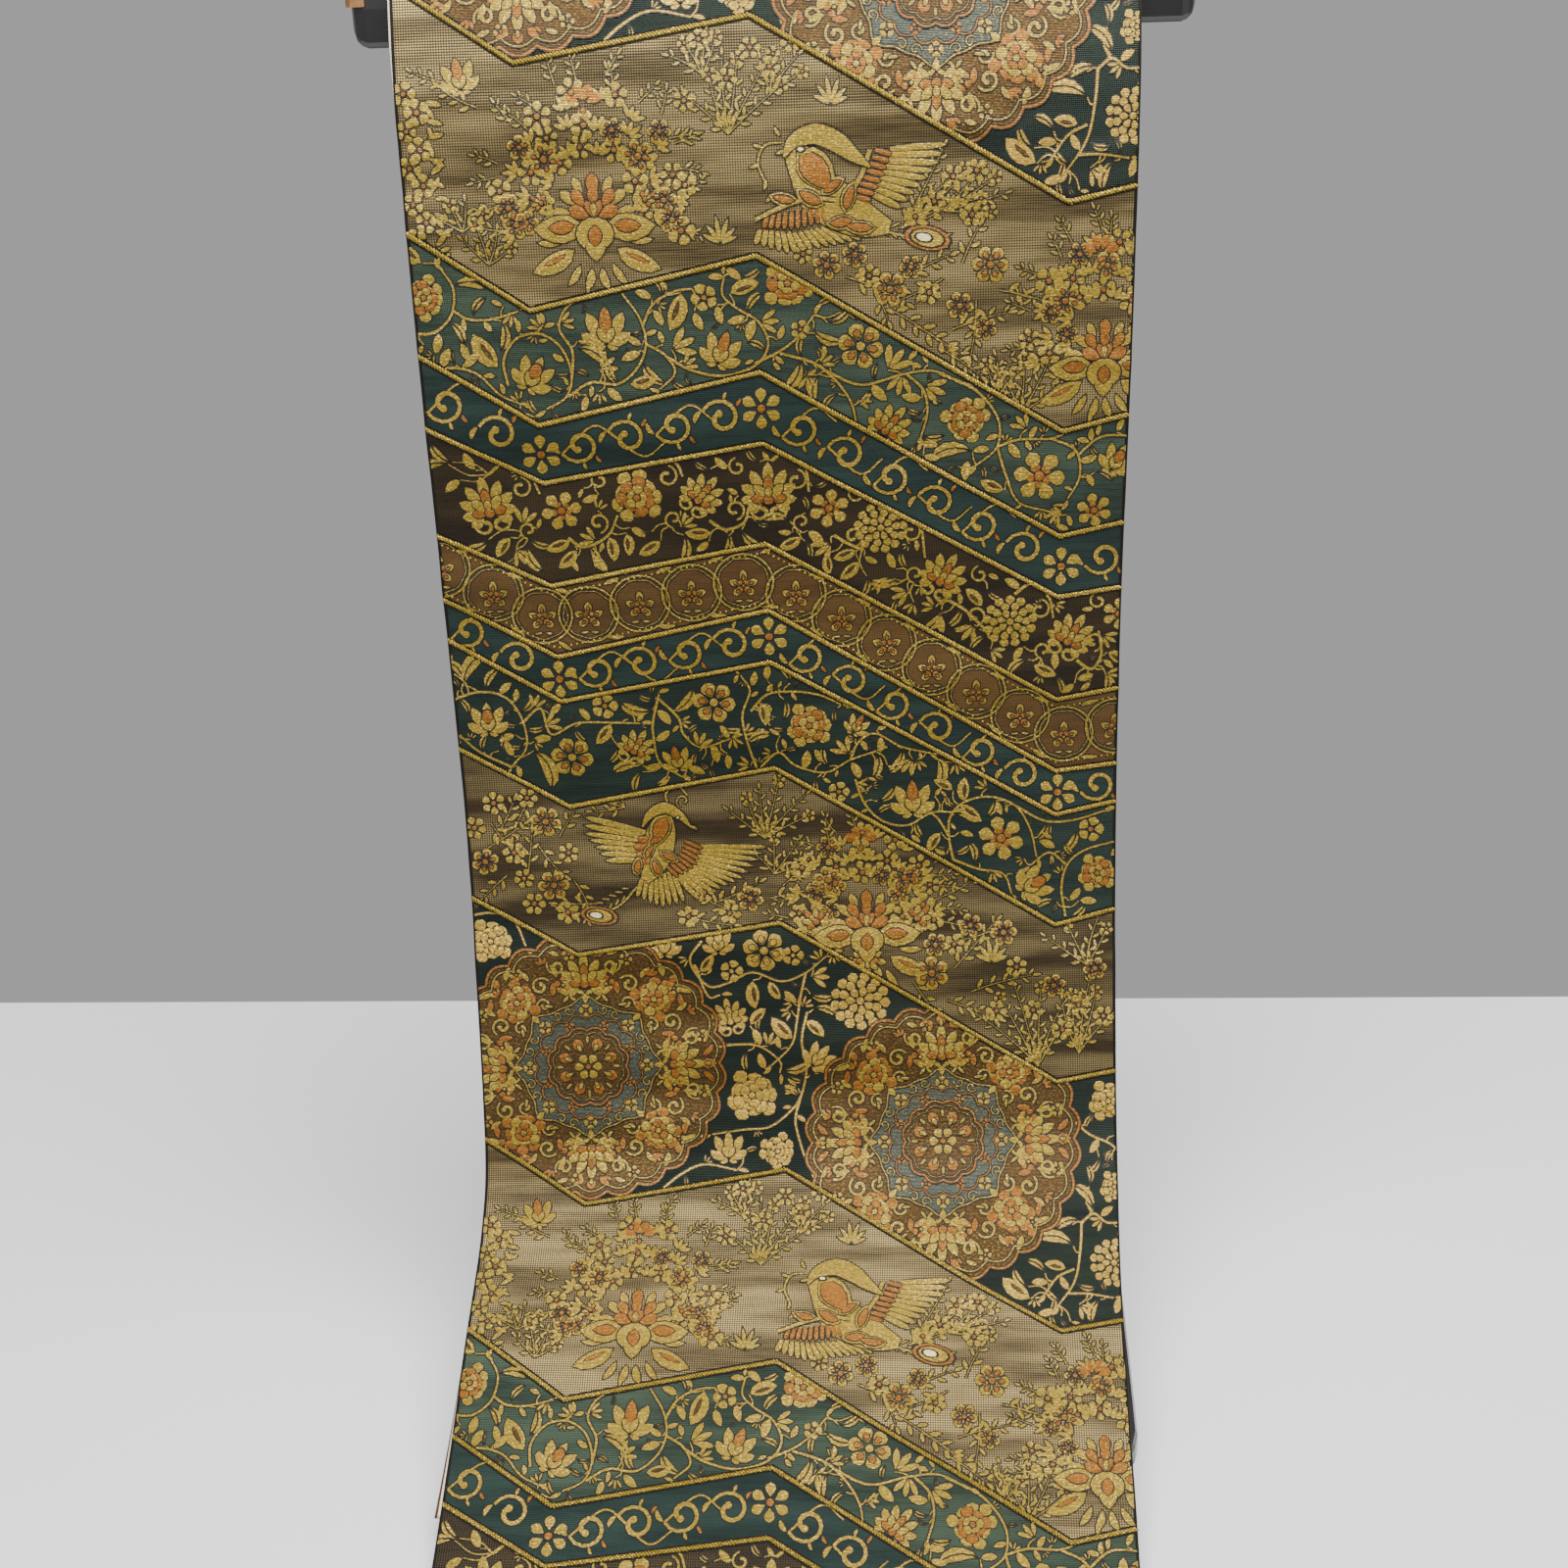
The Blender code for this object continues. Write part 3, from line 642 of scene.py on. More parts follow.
def wovenFinish(name, group, colours, values, roughness, bump, sheen):
    material, tree, surface = newMaterial(name)
    weave = tree.nodes.new("ShaderNodeGroup")
    weave.node_tree = group
    for label, colour in colours.items():
        weave.inputs[label].default_value = srgb(*colour)
    for label, value in values.items():
        weave.inputs[label].default_value = value
    raised = tree.nodes.new("ShaderNodeBump")
    raised.inputs["Strength"].default_value = bump
    raised.inputs["Distance"].default_value = 0.00025
    tree.links.new(weave.outputs["Height"], raised.inputs["Height"])
    tree.links.new(raised.outputs[0], surface["Normal"])
    tree.links.new(weave.outputs["Color"], surface["Base Color"])
    tree.links.new(weave.outputs["Metal"], surface["Metallic"])
    for label, value in (("Roughness", roughness), ("Sheen Weight", sheen), ("Sheen Roughness", 0.4),
                         ("Specular IOR Level", 0.22)):
        surface[label].default_value = value
    return material


# warp, weft, painted glint colour, pitch, slant, share of painted glint
grounds = {
    "wideGauze": ((32, 26, 13), (112, 95, 58), (214, 187, 124), 1.1, 0.0, 0.58),
    "firstVines": ((10, 18, 15), (54, 71, 56), (98, 117, 92), 0.8, 0.9, 0.52),
    "firstScrolls": ((8, 17, 16), (32, 52, 46), (62, 88, 78), 0.8, 0.9, 0.45),
    # the palmettes ground is a dark brown, darkened further as painted shade for the bow of the cloth
    "palmettes": ((14, 10, 5), (44, 33, 14), (92, 74, 38), 1.1, 0.0, 0.38),
    "rings": ((56, 38, 17), (92, 66, 30), (130, 99, 50), 0.8, 0.0, 0.35),
    "secondScrolls": ((8, 17, 16), (32, 52, 46), (62, 88, 78), 0.8, 0.9, 0.45),
    "secondVines": ((6, 13, 11), (28, 45, 37), (58, 80, 64), 0.8, 0.9, 0.42),
    "darkGauze": ((24, 18, 9), (68, 53, 26), (186, 164, 108), 1.1, 0.0, 0.5),
    "medallions": ((5, 11, 8), (26, 39, 30), (56, 72, 54), 0.8, 0.9, 0.35),
}
threadColours = {
    "gold": ((135, 113, 28), (78, 64, 12)),
    "pale": ((150, 121, 40), (98, 75, 20)),
    "orange": ((130, 78, 20), (80, 44, 10)),
    "umber": ((66, 45, 17), (42, 28, 10)),
    "blue": ((56, 64, 57), (31, 39, 37)),
    "ivory": ((230, 212, 162), (180, 150, 100)),
}
outlineColour = (20, 17, 8)
# colour of the painted glints on the figures, and below how much of it each thread takes
glintColour = (248, 211, 116)
glintShares = {"gold": 0.76, "pale": 0.86, "orange": 0.34, "umber": 0.16, "blue": 0.16, "ivory": 0.6}
groundFinish = {}
for label, (warp, weft, glint, pitch, slant, share) in grounds.items():
    groundFinish[label] = wovenFinish(label + "Ground", groundWeave,
                                      {"Warp": warp, "Weft": weft, "Glint": glint},
                                      {"Pitch": pitch, "Slant": slant, "Glint Share": share}, 0.44, 0.5,
                                      0.04)
threads = {}
for label, (thread, shade) in threadColours.items():
    threads[label] = wovenFinish(label + "Thread", figureWeave,
                                 {"Thread": thread, "Shade": shade, "Outline": outlineColour,
                                  "Glint": glintColour},
                                 {"Outline Width": 0.58, "Glint Share": glintShares[label]}, 0.4, 0.5, 0.03)
threads["dark"] = wovenFinish("darkThread", figureWeave,
                              {"Thread": outlineColour, "Shade": (16, 15, 10), "Outline": outlineColour},
                              {"Outline Width": 0.1, "Glint Share": 0.0}, 0.6, 0.4, 0.1)
# the cream silk takes the same painted sheen patches, in a paler Glint colour
creamFinish = wovenFinish("creamSilk", groundWeave,
                          {"Warp": (206, 192, 166), "Weft": (232, 221, 198), "Glint": (242, 234, 216)},
                          {"Pitch": 0.5, "Slant": 0.0, "Glint Share": 0.3}, 0.55, 0.2, 0.2)

# Ground of the sash

def flatGround(first, last, cellAcross, cellAlong):
    columns = [0.0]
    for low, high in zip(lineKnots, lineKnots[1:]):
        count = round((high - low) / cellAcross)
        columns += list(low + (high - low) * np.arange(1, count + 1) / count)
    columns = np.array(columns)
    ground = FlatWork()
    for k in range(first, last):
        gap = lineAt(k + 1, 148.0) - lineAt(k, 148.0)
        rows = max(2, round(gap / cellAlong))
        grid = np.zeros((rows + 1, len(columns), 3))
        for i in range(rows + 1):
            grid[i, :, 0] = columns
            grid[i, :, 1] = inBand(k, columns, i / rows)
        ground.addGrid(grid, np.zeros(grid.shape[:2]), bandNames[k % 9])
    return ground


def wallFromFlat(name, flat, outside, inside, finishes, edge):
    # a closed wall of cloth between two heights over the face
    points = np.array(flat.points)
    keys = np.round(points[:, :2], 3)
    _, firstOf, sameAs = np.unique(keys, axis=0, return_index=True, return_inverse=True)
    points = points[firstOf]
    sameAs = np.asarray(sameAs).reshape(-1)
    faces = []
    threadsOf = []
    for face, thread in zip(flat.faces, flat.threads):
        ring = [int(sameAs[k]) for k in face]
        ring = [k for n, k in enumerate(ring) if k != ring[n - 1]]
        if len(ring) < 3:
            continue
        faces.append(ring[::-1] if flatArea(points[ring]) > 0.0 else ring)
        threadsOf.append(thread)
    count = len(points)
    outer = drape(points[:, 0], points[:, 1], np.full(count, outside))
    inner = drape(points[:, 0], points[:, 1], np.full(count, inside))
    sides = {}
    for ring in faces:
        for a, b in zip(ring, ring[1:] + ring[:1]):
            sides[(a, b)] = True
    rim = [(a, b) for a, b in sides if (b, a) not in sides]
    names = sorted(set(threadsOf))
    allFaces = faces + [[k + count for k in ring[::-1]] for ring in faces]
    allFaces += [[b, a, a + count, b + count] for a, b in rim]
    mesh = bpy.data.meshes.new(name)
    mesh.from_pydata(np.vstack([outer, inner]).tolist(), [], allFaces)
    for label in names:
        mesh.materials.append(finishes[label])
    mesh.materials.append(edge)
    back = [len(names)] * len(faces)
    mesh.polygons.foreach_set("material_index",
                              [names.index(t) for t in threadsOf] + back + [len(names)] * len(rim))
    addFlatMap(mesh, np.vstack([points[:, :2], points[:, :2]]))
    mesh.shade_smooth()
    mesh.set_sharp_from_angle(angle=math.radians(50.0))
    item = addItem(name, mesh)
    print(name, 2 * countTriangles(faces) + 2 * len(rim), "triangles")
    return item


def finishPiece(item, slot, *nodes):
    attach(item, "root")
    if nodes:
        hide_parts(*nodes)
    return item


faceNodes = ["face_back_fold", "face_back_hang", "face_saddle", "face_front_hang", "face_front_bend",
             "face_front_tail"]
liningNodes = [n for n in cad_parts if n.startswith("lining_")]
innerNodes = [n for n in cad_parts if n.startswith("inner_")]

clothEnds = (float(faceLine[0, 0]) + 0.5, float(faceLine[-1, 0]) - 0.5)
firstBand, lastBand = -13, 15
ground = clipFlat(flatGround(firstBand, lastBand, 5.0, 3.3), ends=clothEnds, selvedge=None)
faceCloth = wallFromFlat("brocade_ground", ground, 0.0, -sash["wall"], groundFinish, threads["dark"])
finishPiece(faceCloth, "brocade", *faceNodes)

# Motifs, drawn flat. Angles are in degrees: 0 is to the right, 90 along the cloth towards its front end.

def polar(middle, radius, angle):
    a = math.radians(angle)
    return (middle[0] + radius * math.cos(a), middle[1] + radius * math.sin(a))


def drawPetal(work, middle, angle, inner, outer, width, thread, heart=None, blunt=1.5, lift=0.0):
    long = outer - inner
    work.leaf(polar(middle, inner, angle), angle, long, width, thread, blunt=blunt, lift=lift,
              rows=6 if long > 4.0 else 5)
    if heart:
        work.leaf(polar(middle, inner + 0.12 * long, angle), angle, 0.58 * long, 0.5 * width, heart,
                  blunt=1.2, lift=lift + 0.14, rows=4)


def drawFlower(work, middle, radius, petals=6, turn=0.0, petal="gold", heart="orange", streak=None,
               fill=1.0):
    width = 1.3 * radius * math.tan(math.pi / petals) * fill
    for k in range(petals):
        drawPetal(work, middle, turn + 360.0 * k / petals, 0.2 * radius, radius, width, petal,
                  streak if radius > 5.5 else None)
    work.disc(middle, 0.2 * radius + 0.45, heart, lift=0.12, around=8)


def drawPeony(work, middle, radius, turn=0.0, petal="gold", inner="orange"):
    for count, near, far, wide, thread, lift in ((9, 0.4, 1.0, 0.58, petal, 0.0),
                                                 (7, 0.2, 0.74, 0.54, inner, 0.14),
                                                 (5, 0.05, 0.46, 0.44, petal, 0.28)):
        for k in range(count):
            share = 0.9 + 0.16 * math.sin(2.3 * k + turn)
            drawPetal(work, middle, turn + 360.0 * k / count, near * radius, far * radius * share,
                      wide * radius,
                      thread, lift=lift)
    work.disc(middle, 0.13 * radius + 0.4, inner, lift=0.4, around=8)


def drawBall(work, middle, radius, turn=0.0, petal="orange", inner="gold"):
    for count, near, far, wide, thread, lift in ((13, 0.55, 1.0, 0.4, petal, 0.0),
                                                 (10, 0.3, 0.76, 0.36, petal, 0.12),
                                                 (7, 0.08, 0.5, 0.32, petal, 0.24)):
        for k in range(count):
            drawPetal(work, middle, turn + 360.0 * (k + 0.5 * (lift > 0.1)) / count, near * radius,
                      far * radius,
                      wide * radius, thread, lift=lift)
    work.disc(middle, 0.14 * radius + 0.4, inner, lift=0.36, around=8)


def drawTulip(work, middle, radius, angle=-90.0, petal="gold", inner="orange"):
    foot = polar(middle, -0.75 * radius, angle)
    for spread, long, wide, bend in ((66.0, 1.25, 0.6, 40.0), (30.0, 1.65, 0.66, 14.0)):
        for side in (-1.0, 1.0):
            work.leaf(foot, angle + side * spread, long * radius, wide * radius, petal, bend=-side * bend,
                      blunt=1.15)
    work.leaf(polar(foot, 0.1 * radius, angle), angle, 1.6 * radius, 0.62 * radius, inner, blunt=1.1,
              lift=0.14)
    for spread in (-24.0, 24.0):
        work.leaf(foot, angle + spread, 0.85 * radius, 0.42 * radius, petal, blunt=1.1, lift=0.24)
    for spread in (-110.0, 110.0):
        work.leaf(foot, angle + spread, 0.62 * radius, 0.3 * radius, petal, bend=-0.7 * spread)


def drawPalmette(work, middle, radius, angle=-90.0, petal="gold", inner="orange", petals=9):
    foot = polar(middle, -0.4 * radius, angle)
    for k in range(petals):
        share = 2.0 * k / (petals - 1) - 1.0
        long = radius * (1.45 - 0.55 * abs(share))
        work.leaf(polar(foot, 0.25 * radius, angle + 118.0 * share), angle + 118.0 * share,
                  long - 0.25 * radius,
                  0.46 * radius, petal, bend=-22.0 * share, blunt=1.25)
    for k in range(5):
        share = k / 2.0 - 1.0
        work.leaf(foot, angle + 84.0 * share, radius * (0.98 - 0.3 * abs(share)), 0.42 * radius,
                  inner if k % 2 == 0 else petal, blunt=1.3, lift=0.16, rows=5)
    work.leaf(foot, angle, 0.55 * radius, 0.34 * radius, petal, blunt=1.2, lift=0.28, rows=5)
    work.disc(foot, 0.2 * radius + 0.3, inner, lift=0.3, around=8)
    for way in (-1, 1):
        work.spiral(polar(foot, 0.52 * radius, angle + way * 148.0), 0.36 * radius, angle + way * 90.0, 0.8,
                    0.14 * radius, petal, way=way, bead=False)


def drawLeaf(work, base, angle, long, wide, thread, bend=14.0, heart="umber"):
    work.leaf(base, angle, long, wide, thread, bend=bend, blunt=0.92)
    if long > 11.0:
        way = angle + 0.1 * bend
        work.leaf(polar(base, 0.16 * long, way), way, 0.6 * long, 0.26 * wide + 0.5, heart,
                  bend=0.6 * bend, lift=0.1, rows=5)


def drawLotus(work, middle, radius):
    petal, inner = "gold", "orange"
    heart = (middle[0], middle[1] + 0.2 * radius)
    for spread, near, far, wide in ((76.0, 0.5, 1.2, 0.34), (48.0, 0.5, 1.22, 0.34), (24.0, 0.6, 1.3, 0.3)):
        for side in (-1.0, 1.0):
            drawPetal(work, heart, -90.0 + side * spread, near * radius, far * radius, wide * radius, petal)
    for spread, near, far, wide in ((-62.0, 0.06, 0.78, 0.42), (62.0, 0.06, 0.78, 0.42),
                                    (-34.0, 0.36, 1.02, 0.36),
                                    (34.0, 0.36, 1.02, 0.36), (0.0, 0.5, 1.3, 0.4), (0.0, 0.3, 0.92, 0.36)):
        drawPetal(work, heart, -90.0 + spread, near * radius, far * radius, wide * radius, inner, lift=0.14)
    for spread in (-20.0, 20.0):
        drawPetal(work, heart, -90.0 + spread, 0.02 * radius, 0.6 * radius, 0.26 * radius, inner, lift=0.26)
    drawPetal(work, heart, -90.0, 0.04 * radius, 0.5 * radius, 0.24 * radius, petal, lift=0.36)
    for side in (-1.0, 1.0):
        at = (heart[0] + side * 0.32 * radius, heart[1] + 0.1 * radius)
        work.leaf(at, 90.0 - side * 86.0, 1.4 * radius, 0.8 * radius, petal, bend=-side * 26.0,
                  blunt=0.8, lift=0.22)
        work.leaf(polar(at, 0.2 * radius, 90.0 - side * 84.0), 90.0 - side * 86.0, 0.78 * radius,
                  0.4 * radius, inner,
                  bend=-side * 12.0, blunt=0.9, lift=0.38)
    work.disc((heart[0], heart[1] + 0.36 * radius), 0.56 * radius, petal, lift=0.34, squash=0.86, around=14)
    work.leaf((heart[0], heart[1] + 0.5 * radius), 90.0, 0.62 * radius, 0.6 * radius, petal, blunt=0.6,
              lift=0.36)
    work.leaf((heart[0], heart[1] + 0.1 * radius), 90.0, 0.62 * radius, 0.42 * radius, inner, lift=0.5)


def drawSprig(work, foot, angle, long, leaves, leafLong, thread="gold", bend=20.0, core=0.55, bud=None):
    t = np.linspace(0.0, 1.0, 7)
    spine = bentSpine(foot, np.radians(angle + bend * t), long)
    work.vine(spine, core, thread, (1.0, 0.5), sampled=True)
    for k in range(leaves):
        place = (k + 1.0) / (leaves + 0.4)
        at = [np.interp(place, t, spine[:, 0]), np.interp(place, t, spine[:, 1])]
        way = angle + bend * place
        side = 1.0 if k % 2 else -1.0
        size = leafLong * (1.1 - 0.3 * place)
        work.leaf(at, way + side * 44.0, size, size * 0.42, thread, bend=-side * 25.0, rows=5)
    tip = spine[-1]
    if bud:
        drawFlower(work, tip, leafLong * 0.62, 5, angle, thread, bud)
    else:
        work.leaf(tip, angle + bend, leafLong * 0.9, leafLong * 0.38, thread, rows=5)


class RaisedWork(FlatWork):
    # draws onto other work, everything a little higher

    def __init__(self, under, step):
        self.points, self.rims = under.points, under.rims
        self.faces, self.threads = under.faces, under.threads
        self.step = step

    def addGrid(self, grid, rim, thread, closed=False):
        raised = grid.copy()
        raised[:, :, 2] += self.step
        FlatWork.addGrid(self, raised, rim, thread, closed)


class Filling:
    # keeps what is taken in a band, and fills the rest with leaves on short stalks from the vines

    def __init__(self, work, k, thread, seed):
        self.work, self.k, self.thread = work, k, thread
        self.dice = random.Random(seed)
        self.taken, self.vines = [], []

    def takeRound(self, middle, radius):
        self.taken.append((middle[0], middle[1], radius))

    def takeVine(self, spine):
        for point in spine:
            self.vines.append((float(point[0]), float(point[1])))
            self.taken.append((float(point[0]), float(point[1]), 0.9))

    def room(self, u, s):
        edge = min(s - float(lineAt(self.k, u)), float(lineAt(self.k + 1, u)) - s) * 0.88 - 1.2
        return min(edge, min(math.hypot(u - a, s - b) - r for a, b, r in self.taken))

    def grow(self, tries, least, longest, reach):
        for _ in range(tries):
            u = self.dice.uniform(-1.0, 311.0)
            s = self.dice.uniform(float(lineAt(self.k, u)), float(lineAt(self.k + 1, u)))
            room = self.room(u, s)
            if room < least:
                continue
            away, a, b = min((math.hypot(u - a, s - b), a, b) for a, b in self.vines)
            if away > reach:
                continue
            way = math.degrees(math.atan2(s - b, u - a))
            long = min(longest, 2.35 * room + 1.6)
            side = self.dice.choice((-1.0, 1.0))
            turn = way + side * self.dice.uniform(10.0, 50.0)
            base = polar((u, s), 0.5 * long, turn + 180.0)
            if away > room + 1.5:
                bow = polar(((a + base[0]) / 2.0, (b + base[1]) / 2.0), 0.12 * away, way + side * 90.0)
                self.work.vine([(a, b), bow, base], 0.75, self.thread, (1.0, 0.7), steps=4)
            shape = self.dice.random()
            if shape < 0.42:
                drawLeaf(self.work, base, turn, long, long * 0.5, self.thread, bend=side * 26.0)
            elif shape < 0.82:
                self.work.leaf(base, turn - side * 22.0, long * 1.2, long * 0.42, self.thread,
                               bend=side * 78.0,
                               vein=0.3, blunt=1.2)
            else:
                for spread in (-34.0, 0.0, 34.0):
                    self.work.leaf(base, turn + spread, long * 0.8, long * 0.27, self.thread, blunt=1.3)
            for share in (0.15, 0.5, 0.85):
                at = polar(base, share * long, turn)
                self.taken.append((at[0], at[1], 0.2 * long))


# kind, across, along, radius, turn
firstVineFlowers = [
    ("peony", 5, 113, 10.5, 10), ("tulip", 82, 128, 10.0, -90), ("bud", 50, 147, 9.0, -60),
    ("peony", 161, 112, 12.0, 20), ("six", 192, 140, 10.5, 15), ("tulip", 132, 139, 9.0, -70),
    ("palm", 205, 175, 10.0, -50), ("peony", 238, 174, 11.5, -10), ("star", 271, 201, 12.0, 8),
    ("star", 296, 218, 8.5, 20), ("small", 125, 117, 6.0, 30), ("small", 166, 132, 4.6, 0),
    ("bud", 306, 194, 8.0, -60),
]
firstVines = [
    [(-2, 128), (8, 128), (16, 121), (18, 110), (14, 102)],
    [(17, 119), (24, 123), (34, 123), (45, 120)],
    [(-2, 152), (10, 144), (24, 146), (34, 156), (42, 160)],
    [(38, 152), (37, 141), (43, 132), (53, 130), (62, 136), (66, 148), (63, 158), (54, 163)],
    [(66, 150), (67, 138), (62, 128), (66, 119), (74, 116)],
    [(64, 158), (74, 152), (86, 153), (95, 146), (99, 136), (97, 125), (90, 114)],
    [(98, 128), (103, 119), (112, 114), (120, 113)],
    [(99, 136), (107, 141), (111, 149), (104, 156)],
    [(108, 142), (118, 148), (132, 151), (146, 147), (152, 138), (148, 128), (139, 122), (133, 116),
     (134, 108)],
    [(146, 146), (157, 141), (165, 135), (172, 126)],
    [(157, 142), (172, 147), (182, 156), (188, 166), (190, 178)],
    [(176, 150), (192, 157), (210, 153), (224, 152), (236, 158)],
    [(212, 153), (219, 160), (221, 170), (218, 182)],
    [(226, 153), (242, 161), (252, 174), (252, 187), (243, 195)],
    [(252, 187), (262, 184), (276, 184), (286, 180)],
    [(252, 187), (256, 200), (262, 213), (276, 218)],
    [(276, 184), (287, 190), (289, 202), (284, 212)],
    [(288, 192), (298, 184), (312, 184)],
]
secondVineFlowers = [
    ("six", 121, 305, 10.5, 10), ("peony", 165, 318, 12.0, 0), ("bud", 15, 309, 9.0, -90),
    ("six", 53, 330, 10.5, 12), ("palm", 84, 325, 9.0, -60), ("tulip", 213, 356, 10.0, -90),
    ("star", 255, 378, 11.5, 18), ("bud", 272, 401, 9.5, -30), ("peony", 301, 397, 10.5, 0),
    ("small", 70, 305, 6.5, 0), ("small", 178, 352, 5.5, 0), ("small", 298, 375, 6.5, 0),
    ("tulip", 102, 332, 7.5, -100), ("tulip", 188, 318, 6.0, -60), ("small", 255, 342, 6.5, 0),
]
secondVines = [
    [(-2, 300), (12, 296), (24, 299), (31, 310), (32, 324), (24, 334)],
    [(31, 312), (40, 305), (44, 318), (56, 313), (70, 313), (86, 314)],
    [(24, 334), (10, 326), (2, 318)],
    [(95, 302), (92, 314), (92, 322), (94, 334), (104, 342)],
    [(95, 302), (104, 312), (106, 320), (114, 327), (128, 323)],
    [(140, 340), (136, 326), (134, 312), (138, 300), (134, 292)],
    [(138, 310), (146, 302), (158, 301), (170, 303), (180, 308)],
    [(140, 340), (150, 331), (158, 338), (172, 342), (184, 336), (196, 332)],
    [(184, 336), (188, 327), (196, 323), (208, 330), (222, 334)],
    [(186, 346), (190, 358), (198, 367), (210, 370), (222, 364), (232, 364)],
    [(232, 388), (230, 376), (231, 366), (238, 359), (250, 357), (262, 362), (269, 374), (272, 388)],
    [(230, 376), (224, 366), (216, 362)],
    [(286, 418), (284, 404), (287, 392), (296, 385), (312, 381)],
    [(286, 392), (278, 386), (269, 392)],
    [(262, 362), (276, 370), (290, 370), (304, 366)],
    [(232, 388), (244, 393), (256, 396), (260, 406)],
]
medallionFlowers = [
    ("peony", 8, 421, 12.0, 0), ("six", 140, 430, 11.0, 18), ("ball", 186, 457, 15.0, 5),
    ("peony", 132, 503, 14.0, 0), ("tulip", 120, 528, 8.5, -90), ("peony", 144, 531, 10.0, 10),
    ("tulip", 118, 424, 7.5, -90), ("small", 124, 440, 6.0, 0), ("small", 154, 433, 5.6, 0),
    ("peony", 306, 510, 11.0, 0), ("palm", 122, 462, 9.0, -100), ("tulip", 166, 484, 8.0, -50),
    ("ball", 307, 585, 12.0, 0), ("peony", 308, 550, 8.0, 0), ("tulip", 92, 424, 8.0, -90),
]
medallionVines = [
    [(110, 424), (104, 434), (112, 447), (122, 446), (134, 441), (148, 446), (160, 442), (170, 434)],
    [(106, 436), (112, 452), (118, 452)],
    [(160, 442), (157, 454), (155, 466), (152, 478), (142, 488)],
    [(116, 478), (124, 477), (136, 478), (146, 486), (146, 492)],
    [(160, 462), (157, 476), (159, 490), (156, 504), (150, 512), (140, 519), (128, 520), (112, 522)],
    [(156, 504), (153, 516), (156, 530), (160, 540)],
    [(-2, 408), (10, 407), (20, 412), (25, 424)],
    [(195, 470), (204, 472), (204, 480)],
    [(290, 520), (297, 526), (306, 530), (312, 535)],
    [(292, 566), (298, 562), (304, 566), (312, 566)],
    [(292, 566), (291, 580), (288, 594), (280, 606)],
    [(284, 600), (294, 600), (306, 602)],
    [(84, 552), (96, 542), (108, 537), (124, 540)],
    [(288, 588), (280, 592), (274, 600)],
]


def drawAll(work, rows, petal, inner):
    for kind, u, s, radius, turn in rows:
        middle = (u, s)
        if kind == "six":
            drawFlower(work, middle, radius, 6, turn, petal, petal, inner)
        elif kind == "small":
            drawFlower(work, middle, radius, 5, turn, petal, inner)
        elif kind == "star":
            drawFlower(work, middle, radius, 6, turn, petal, inner, None, 0.86)
            drawFlower(work, middle, radius * 0.5, 5, turn + 20.0, inner, petal)
        elif kind == "peony":
            drawPeony(work, middle, radius, turn, petal, inner)
        elif kind == "ball":
            drawBall(work, middle, radius, turn, petal, petal)
        elif kind == "tulip":
            drawTulip(work, middle, radius, turn, petal, inner)
        elif kind == "palm":
            drawPalmette(work, middle, radius, turn, petal, inner)
        elif kind == "bud":
            drawTulip(work, middle, radius, turn, petal, petal)
            work.disc(polar(middle, 0.1 * radius, turn), 0.46 * radius, inner, lift=0.3, squash=0.75,
                      angle=turn)


def growVines(work, k, vines, flowers, thread, seed, tries=900, blocks=()):
    filling = Filling(work, k, thread, seed)
    for _, u, s, radius, _ in flowers:
        filling.takeRound((u, s), radius + 0.8)
    for u, s, radius in blocks:
        filling.takeRound((u, s), radius)
    for row in vines:
        filling.takeVine(work.vine(row, 1.05, thread, (1.15, 0.8), steps=6))
    for row in vines:
        (x1, y1), (x2, y2) = row[-2], row[-1]
        way = math.degrees(math.atan2(y2 - y1, x2 - x1))
        if filling.room(x2, y2) > -3.0:
            work.leaf((x2, y2), way, 7.0, 2.8, thread, bend=50.0)
    filling.grow(tries, 2.9, 19.0, 19.0)
    filling.grow(tries, 1.9, 13.0, 15.0)
    filling.grow(tries, 1.3, 8.5, 12.0)


def vineBand(k, vines, flowers, petal, inner, seed):
    work = FlatWork()
    growVines(work, k, vines, flowers, petal, seed)
    drawAll(work, flowers, petal, inner)
    return clipFlat(work, k, k + 1)


def scrollBand(k, stars, thread, spacing=21.0):
    # running curls between star flowers, alternately up and down
    work = FlatWork()
    edges = [-8.0] + list(stars) + [320.0]
    for left, right in zip(edges, edges[1:]):
        run = right - left - 14.0
        count = max(1, round(run / spacing))
        for n in range(count):
            u = left + 7.0 + run * (n + 0.5) / count
            s = float(inBand(k, u))
            way = 1 if n % 2 else -1
            curl = work.spiral((u, s + 0.6 * way), 9.0, 205.0 * way, 1.1, 2.0, thread, curl=0.26, way=way)
            tail = curl[0]
            work.leaf(tail, 125.0 * way, 8.0, 3.2, thread, bend=-80.0 * way, rows=6)
            work.leaf(curl[3], -70.0 * way, 5.0, 2.4, thread, bend=60.0 * way, rows=5)
            work.leaf(polar((u, s), 7.8, -28.0 * way), -60.0 * way, 5.5, 2.4, "orange", bend=70.0 * way,
                      rows=5)
            if n + 1 < count:
                far = run / count
                work.vine([tail, (u + 0.3 * far, s + 9.4 * way), (u + 0.8 * far, s + 3.0 * way)], 0.9,
                          thread,
                          (1.2, 0.8), steps=5)
    for u in stars:
        middle = (u, float(inBand(k, u)))
        drawFlower(work, middle, 9.6, 6, 30.0, "gold", "orange", None, 0.8)
    return clipFlat(work, k, k + 1)


